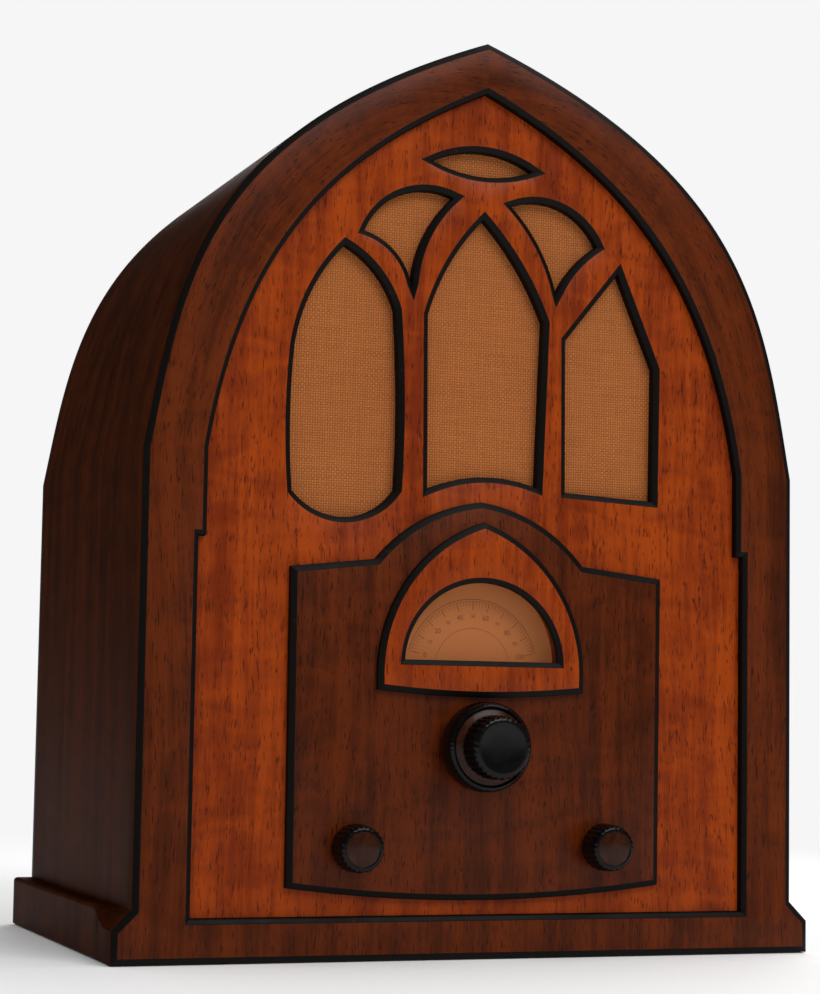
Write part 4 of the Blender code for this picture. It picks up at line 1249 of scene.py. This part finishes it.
def make_output_transformer():
    """A small laminated core in a folded steel strap, with the winding standing out of it."""
    node = "output_transformer"
    place = upright_at(node)
    half = high(node) - middle(node)
    bottom, top = heights(node)
    winding = about(bottom, 0, (7, 1.5), (8, 0.3)) + about(top, 0, (-8, 0.3), (-7, 1.5))
    strap, strap_half = 0.9, 6
    parts = [
        (tower(laminated(bottom + 0.6, top - 1.2, 1.0), half.x - strap, half.y - 5, 0.6, 2), 0),
        (tower(winding, half.x - 8, half.y, 3.5, 6), 2),
        (box_shape((-half.x, -strap_half, top - 1.2), (half.x, strap_half, top)), 1),
    ]
    for x in (-half.x, half.x - strap):
        parts.append((box_shape((x, -strap_half, bottom), (x + strap, strap_half, top - 0.1)), 1))
    materials = [LAMINATION, STEEL, BROWN]
    piece = new_piece("output_transformer_core", gather(parts), materials, node, place=place)
    soften(piece, 0.15, 1, 60)


def make_chassis_fixings():
    """Spot welds on the steel deck, and screws and eyelets on its rear apron."""
    weld = [(0, 0), (0, 1.9), (0.25, 1.5), (0.1, 0.8), (0.05, 0)]
    eyelet = [(0, 0), (0, 3.4), (0.5, 3.3), (0.7, 2.8), (0.5, 2.3), (0.05, 2.2), (0.02, 0)]
    parts = []
    for x in range(-132, 133, 24):
        for depth in (DECK_FRONT + 5, DECK_BACK - 5):
            parts.append((lathe(weld, 20, upright=True), 0, (x, depth, DECK + 0.01)))
    side, upper, lower = high("chassis").x - 6, DECK - 8, DECK - 48
    for x, z in ((-side, upper), (-side, lower), (side, upper), (side, lower), (0, upper), (40, lower)):
        parts.append((facing(screw_head(2.6, 1.5, 25 + x), "rear"), None, (x, DECK_BACK, z)))
    for x in (-75, -45, -15, 15, 45):
        parts.append((facing(lathe(eyelet, 32, upright=True), "rear"), 0, (x, DECK_BACK, 70)))
    new_piece("chassis_fixings", gather(parts), [STEEL, IRON])


def make_terminal_strip():
    """A moulded strip with four brass terminals under slotted screws."""
    node = "terminal_strip"
    axis = middle(node)
    half = high(node) - axis
    front, back = depths(node)
    thickness = back - front
    board = tower([(0, 0.2), (0.2, 0), (thickness - 0.6, 0), (thickness, 0.5)], half.x, half.z, 1.6, 6)
    washer = [(0, 0), (0, 3.6), (0.5, 3.6), (0.7, 3.3), (0.7, 0)]
    parts = [(facing(board, "rear"), 0, (axis.x, front, axis.z))]
    for x in (-13.5, -4.5, 4.5, 13.5):
        parts.append((facing(lathe(washer, 32, upright=True), "rear"), 1, (axis.x + x, back, axis.z)))
        head = facing(screw_head(2.5, 1.8, 17 * x), "rear")
        for face in head.faces:
            face.material_index += 1
        parts.append((head, None, (axis.x + x, back + 0.7, axis.z)))
    new_piece("aerial_terminals", gather(parts), [BROWN, BRASS, IRON], node)


def make_grommet():
    """A grooved rubber ring in the chassis's rear apron."""
    node = "cord_grommet"
    front, back = depths(node)
    ring = about(front, 0, (0, 3.6), (0, 6.6), (0.4, 7.3), (1.8, 7.5), (2.4, 7.2), (2.5, 4.8))
    ring += about(
        back, 0, (-2.5, 4.8), (-2.4, 7.2), (-1.6, 7.5), (-0.6, 7.1), (-0.1, 6.0), (0, 4.8), (-0.4, 3.9),
        (-1.2, 3.6),
    )
    new_piece("rubber_grommet", lathe(ring, 72), [RUBBER], node, place=level_at(node), sharp=60)


# ---------------------------------------------------------------- drive, gang and small controls

GANG_STARTS = (52, 91)         # the two sections of the gang begin at these depths
LEAF = 0.6
LEAF_PITCH = 3.3


def leaf(loop, depth):
    """One flat leaf of the tuning gang."""
    bm = bmesh.new()
    front, back = ring_of(bm, loop, depth), ring_of(bm, loop, depth + LEAF)
    bridge(bm, front, back)
    fill(bm, [front])
    fill(bm, [back])
    return bm


def make_stator():
    """Two stacks of fixed leaves on bars held by ceramic beads."""
    inner, outer, clearance = 8, 31, 1.5
    corners = [
        (clearance, PIVOT_Z - outer, outer - clearance), (clearance, PIVOT_Z + outer, 0),
        (clearance, PIVOT_Z + inner, clearance - inner), (clearance, PIVOT_Z - inner, 0),
    ]
    loop = outline(corners, 32)
    parts = [(leaf(loop, start + i * LEAF_PITCH), 0) for start in GANG_STARTS for i in range(8)]
    bar_reach, bar_turn = 29, math.radians(50)
    front, back = depths("gang_stator")
    for side in (-1, 1):
        place = (bar_reach * math.cos(bar_turn), 0, PIVOT_Z + side * bar_reach * math.sin(bar_turn))
        parts.append((facing(pin(1.4, -back, -front, 20), "front"), 1, place))
        for depth in [start + step for start in GANG_STARTS for step in (-1.6, 28.5)]:
            parts.append((facing(pin(2.6, -depth - 1.6, -depth, 24, 0.5), "front"), 2, place))
    materials = [ALUMINIUM, SHAFT_STEEL, CERAMIC]
    new_piece("stator_leaves", gather(parts), materials, "gang_stator")


def make_rotor():
    """The moving leaves on their shaft, between the fixed ones."""
    front, back = depths("gang_rotor")
    reach = 26
    loop = outline([(1, -reach, reach), (1, reach, 0), (-5, 6, 0), (-5, -6, 0)], 40)
    parts = [(lathe(rod(3, front + 0.1, back, 0.3), 32), 1)]
    for start in GANG_STARTS:
        collar = about(start, 0, (-1.2, 3), (-1.2, 5.0), (-0.8, 5.4), (25.2, 5.4), (25.6, 5.0), (25.6, 3))
        parts.append((lathe(collar, 32), 1))
        parts += [(leaf(loop, start + (i + 0.5) * LEAF_PITCH), 0) for i in range(7)]
    materials = [ALUMINIUM, SHAFT_STEEL]
    place = (0, 0, PIVOT_Z)
    new_piece("rotor_leaves", gather(parts), materials, "gang_rotor", "gang", place)


def make_drive_disc():
    """A thin brass disc with a raised rim, a groove round it and a screw in its hub."""
    node = "drive_disc"
    front, back = depths(node)
    rim = high(node).x
    disc = [
        *about(front, 0, (0, BORE), (0, 8.6), (0.5, 9.0), (0.7, 27), (0, 27.6)),
        *about(front, rim, (0, -0.5), (0.4, 0), (1.2, 0), (1.5, -0.5), (1.8, 0), (2.6, 0), (3, -0.5)),
        *about(front, 0, (3, 27.6), (2.3, 27), (2.5, 9.6), (3.2, 9)),
        *about(back, 0, (-0.4, 9), (0, 8.6), (0, BORE)),
    ]
    hub_screw = (screw_head(1.7, 1.0, 40), 1, (0, back - 2.4, 8.9))
    bm = gather([(lathe(disc, 144), 0), hub_screw])
    new_piece("friction_disc", bm, [BRASS, SHAFT_STEEL], node, "gang", (0, 0, PIVOT_Z), 40)


def make_tuning_shaft():
    """The knob's shaft with the pinion that drives the disc."""
    node = "tuning_shaft"
    front, back = depths(node)
    disc = low("drive_disc").y
    shaft = [
        (front, 0), (front, 2.6), (front + 0.4, 3), *about(disc - 0.5, 3, (0, 0), (0, 0.9), (0.3, 1.2)),
        *about(disc + 3.5, 3, (-0.3, 1.2), (0, 0.9), (0, 0)), (back - 0.3, 3), (back, 2.7), (back, 0),
    ]
    bm = lathe(shaft, 40)
    new_piece("tuning_spindle", bm, [SHAFT_STEEL], node, "tuning", level_at(node))


def make_potentiometers():
    """Two controls with a threaded bush, a nut on the chassis front and three lugs, and their shafts."""
    bush, bore, thread_pitch = 4.8, 3.4, 0.8
    for kind in ("volume", "tone"):
        node = kind + "_control"
        place = level_at(node)
        front, back = depths(node)
        radius = radius_of(node)
        body = [(front, bore)]
        for i in range(10):
            body += about(front + 0.2 + i * thread_pitch, bush, (0, 0), (0.4, -0.35))
        body += [(front + 8.8, bush)] + about(front, radius, (8.8, -0.8), (9.2, -0.2), (9.9, 0), (11.2, 0))
        body += about(front, radius, (11.6, -0.5), (22.2, -0.5))
        body += about(back, radius, (-0.6, -1.0), (0, -2.2), (-0.2, -4))
        body += [(back - 0.2, 0), (back - 5, 0), (back - 5, bore)]
        nut = facing(hexagon(7.6, 2.4), "front")
        parts = [(lathe(body, 72), 0), (nut, 1, (0, DECK_FRONT - 0.05, 0))]
        for x in (-6, 0, 6):
            lug = box_shape((x - 1.2, front + 11.2, -radius - 3.0), (x + 1.2, front + 11.8, 1.5 - radius))
            parts.append((lug, 1))
        name, materials = kind + "_potentiometer", [STEEL, BRASS]
        new_piece(name, gather(parts), materials, node, place=place, sharp=40)
        node = kind + "_shaft"
        shaft = lathe(rod(3, *depths(node), 0.3), 36)
        new_piece(kind + "_spindle", shaft, [SHAFT_STEEL], node, kind, place)


# ---------------------------------------------------------------- speaker

SPEAKER_Z = middle("speaker_cone").z
SPEAKER_PLACE = (0, 0, SPEAKER_Z)


def make_basket():
    """A pressed basket with six windows, and the eight screws that hold it."""
    node = "speaker_basket"
    front, back = depths(node)
    rim = high(node).x
    steps, window_strip = 180, 7
    section = [
        (front, 78.4), *about(front, rim, (0, -0.6), (0.5, 0), (1.4, 0), (1.7, -0.6)),
        *about(front, 0, (1.7, 81.0), (2.6, 79.6), (9.0, 72.8), (30, 51.6)),
        *about(back, 0, (-3.4, 43.6), (-1.4, 41.8), (0, 40.6), (0, 17.2)),
    ]

    def in_window(i):
        return 17 < (i * 360 / steps) % 60 < 44

    bm = lathe(section, steps, closed=False, skip_strip=window_strip, skip=in_window)
    basket = new_piece("pressed_basket", bm, [CRACKLE], node, place=SPEAKER_PLACE, sharp=45)
    thicken(basket, 1.0)

    heads = []
    for i, (x, z) in enumerate(circle(rim - 4, steps=16)[1::2]):
        heads.append((facing(screw_head(3.0, 1.9, 50 * i), "rear"), None, (x, front + 1.9, z)))
    new_piece("speaker_screws", gather(heads), [STEEL, IRON], place=SPEAKER_PLACE)


def make_cone():
    """A ribbed paper cone with a folded edge and a short neck."""
    node = "speaker_cone"
    rim, neck = low(node).y + 3.0, high(node).y - 10.8
    rim_radius, neck_radius, ribs = 64.4, 12.9, 12
    cone = about(rim, 0, (-3.0, 71.4), (-2.5, 70.6), (-1.4, 69.4), (-2.1, 68.2), (-1.0, 67.0), (-1.5, 65.8))
    cone.append((rim, rim_radius))
    for i in range(1, ribs + 1):
        depth = rim + (neck - rim) * i / ribs
        radius = rim_radius + (neck_radius - rim_radius) * (i / ribs) ** 0.96
        cone += about(depth, radius, (-1.1, 1.35), (-0.35, 0.35)) if i < ribs else [(depth, radius)]
    cone += [(neck + 0.8, 12.5), (neck + 10.6, 12.5)]
    paper = lathe(cone, 144, closed=False)
    piece = new_piece("ribbed_paper_cone", paper, [PAPER], node, "cone", SPEAKER_PLACE, 75)
    thicken(piece, 0.35, 1)


def make_field_magnet():
    """The field coil's iron pot, with four nuts and a screw at the back."""
    node = "field_magnet"
    front, back = depths(node)
    rim = high(node).x
    pot = [
        *about(front, 0, (0, 0), (0, 10.4), (9, 10.4), (9, 14.5), (0, 14.5)),
        *about(front, rim, (0, -0.8), (0.8, 0), (7.2, 0), (7.6, -0.6), (8.4, -0.6), (8.8, 0)),
        *about(back, rim, (-4, 0), (-1.6, -0.8), (-0.4, -2.4), (0, -4.4), (-0.2, -6.2), (-1.0, -7.6)),
        *about(back, 0, (-1.0, 13), (-0.6, 12), (-0.6, 9.6), (-1.2, 9.0), (-1.2, 0)),
    ]
    parts = [(lathe(pot, 144), 0)]
    for x, z in circle(22, steps=8)[1::2]:
        parts.append((facing(hexagon(4.2, 1.0), "rear"), 1, (x, back - 1.05, z)))
    parts.append((facing(screw_head(5.0, 1.1, 30), "rear"), 1, (0, back - 1.25, 0)))
    materials = [IRON, STEEL]
    new_piece("field_coil_pot", gather(parts), materials, node, place=SPEAKER_PLACE, sharp=40)


def make_tag_board():
    """Two riveted tags on a small board, where the speaker's leads would be soldered."""
    parts = []
    for x in (-9, 9):
        parts.append((facing(pin(2.0, 0, 1.2, 24, 0.4), "rear"), 1, (x, 0.6, 4.5)))
        parts.append((box_shape((x - 1.3, 0.4, 4), (x + 1.3, 1.0, 12)), 1))
    parts.append((facing(tower([(-0.8, 0), (0.6, 0)], 16, 7, 1.2, 5), "rear"), 0, (0, 0, 2)))
    place = (0, high("field_magnet").y - 3.4, SPEAKER_Z - 34.6)
    new_piece("speaker_tag_board", gather(parts), [BROWN, BRASS], place=place)


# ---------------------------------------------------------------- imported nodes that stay

KEPT = {
    "ridge_block": (PLY, 0.8), "floor_board": (PLY, 0.8), "baffle_board": (PLY, 0.6),
    "lamp_socket": (BRASS, 0.25), "shaft_bracket": (STEEL, 0.2), "gang_frame": (STEEL, 0.3),
    "chassis": (STEEL, 0.5),
}
KEPT.update({f"chassis_bolt_{number}": (STEEL, 0.3) for number in range(1, 5)})


def dress_kept_nodes():
    """Give each a material and softened edges."""
    for node, (material, width) in KEPT.items():
        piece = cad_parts[node]
        piece.data.materials.clear()
        piece.data.materials.append(material)
        soften(piece, width)


# ---------------------------------------------------------------- stage

BACKDROP = srgb(246, 246, 246)
WHITE = (1.0, 1.0, 1.0)


def make_floor():
    """A pale floor that melts into the backdrop's tone away from the radio."""
    bm = bmesh.new()
    bmesh.ops.create_circle(bm, cap_ends=True, radius=20.0, segments=96)
    mesh = bpy.data.meshes.new("floor")
    bm.to_mesh(mesh)
    bm.free()
    floor = bpy.data.objects.new("floor", mesh)
    bpy.context.collection.objects.link(floor)
    floor.location.z = -0.0005
    g = Graph("pale_floor", roughness=1.0, Specular_IOR_Level=0.0)
    x, y, _ = g.split(g.place())
    distance = g.math("SQRT", g.math("ADD", g.math("POWER", x, 2.0), g.math("POWER", y, 2.0)))
    speckle = g.noise(g.place(), 240.0, 2.0)
    g.colour(g.mix(speckle, srgb(243, 243, 243), srgb(247, 247, 247)))
    far = g.remap(distance, 0.35, 1.1)
    glow = g.add("Emission")
    glow.inputs["Color"].default_value = (*BACKDROP, 1)
    blend = g.add("MixShader")
    output = g.tree.nodes["Material Output"]
    g.plug(blend.inputs[0], far)
    g.plug(blend.inputs[1], g.shader.outputs[0])
    g.plug(blend.inputs[2], glow.outputs[0])
    g.plug(output.inputs["Surface"], blend.outputs[0])
    mesh.materials.append(g.material)


def make_world():
    """An even pale backdrop, soft ambient light, and a dark room for the gloss to reflect."""
    world = bpy.data.worlds.new("studio")
    bpy.context.scene.world = world
    world.use_nodes = True
    tree = world.node_tree
    tree.nodes.clear()
    output = tree.nodes.new("ShaderNodeOutputWorld")
    ray = tree.nodes.new("ShaderNodeLightPath")
    shades = []
    for colour, strength in ((BACKDROP, 1.0), (WHITE, 0.08), (WHITE, 0.54)):
        shade = tree.nodes.new("ShaderNodeBackground")
        shade.inputs["Color"].default_value = (*colour, 1)
        shade.inputs["Strength"].default_value = strength
        shades.append(shade)
    seen, glossy, ambient = shades
    inner = tree.nodes.new("ShaderNodeMixShader")
    outer = tree.nodes.new("ShaderNodeMixShader")
    for mixer, factor, first, second in (
        (inner, "Is Glossy Ray", ambient, glossy), (outer, "Is Camera Ray", inner, seen),
    ):
        tree.links.new(ray.outputs[factor], mixer.inputs[0])
        tree.links.new(first.outputs[0], mixer.inputs[1])
        tree.links.new(second.outputs[0], mixer.inputs[2])
    tree.links.new(outer.outputs[0], output.inputs["Surface"])


def add_area(name, place, power):
    """A large soft light, aimed at the middle of the radio."""
    data = bpy.data.lights.new(name, "AREA")
    data.shape = "RECTANGLE"
    data.size, data.size_y = 1.4, 1.2
    data.energy = power
    lamp = bpy.data.objects.new(name, data)
    lamp.location = place
    lamp.rotation_mode = "QUATERNION"
    lamp.rotation_quaternion = (Vector((0, 0, 0.22)) - Vector(place)).to_track_quat("-Z", "Y")
    bpy.context.collection.objects.link(lamp)


def make_camera():
    """The drawing's viewing angle: from the radio's left, a little below the middle of the cabinet."""
    azimuth, elevation, roll = math.radians(-20.04), math.radians(-5.05), math.radians(0.91)
    distance = 1.1772
    target = Vector((-0.0377, FRONT_Y, 0.2191))
    level = math.cos(elevation)
    back = Vector((math.sin(azimuth) * level, -math.cos(azimuth) * level, math.sin(elevation)))
    data = bpy.data.cameras.new("camera")
    data.lens = 89.07
    data.sensor_width = 36
    camera = bpy.data.objects.new("camera", data)
    camera.location = target + back * distance
    camera.rotation_mode = "QUATERNION"
    camera.rotation_quaternion = (-back).to_track_quat("-Z", "Y") @ Quaternion((0, 0, 1), roll)
    bpy.context.collection.objects.link(camera)
    bpy.context.scene.camera = camera


# ---------------------------------------------------------------- build

make_camera()
make_world()
add_area("key", (0.5, -1.65, 1.8), 28)
add_area("top", (0.9, 0.2, 2.1), 12)
add_area("rear", (0.9, 1.9, 1.3), 22)
make_floor()
bpy.context.scene.view_settings.view_transform = "Standard"

make_front_frame()
make_front_panel()
make_control_panel()
make_escutcheon()
make_shells()
make_base_mouldings()
make_grille_cloth()
make_dial()
make_tuning_knob()
make_small_knobs()
make_lamp()
make_tuning_shaft()
make_stator()
make_rotor()
make_drive_disc()
make_potentiometers()
make_power_valve("rectifier_tube", 1)
make_power_valve("output_tube", 2)
for shield in (1, 2, 3):
    make_shielded_valve(shield)
for can in (1, 2):
    make_filter_can(can)
    make_if_can(can)
make_power_transformer()
make_output_transformer()
make_chassis_fixings()
make_terminal_strip()
make_grommet()
make_basket()
make_cone()
make_field_magnet()
make_tag_board()
dress_kept_nodes()

bpy.context.view_layer.update()
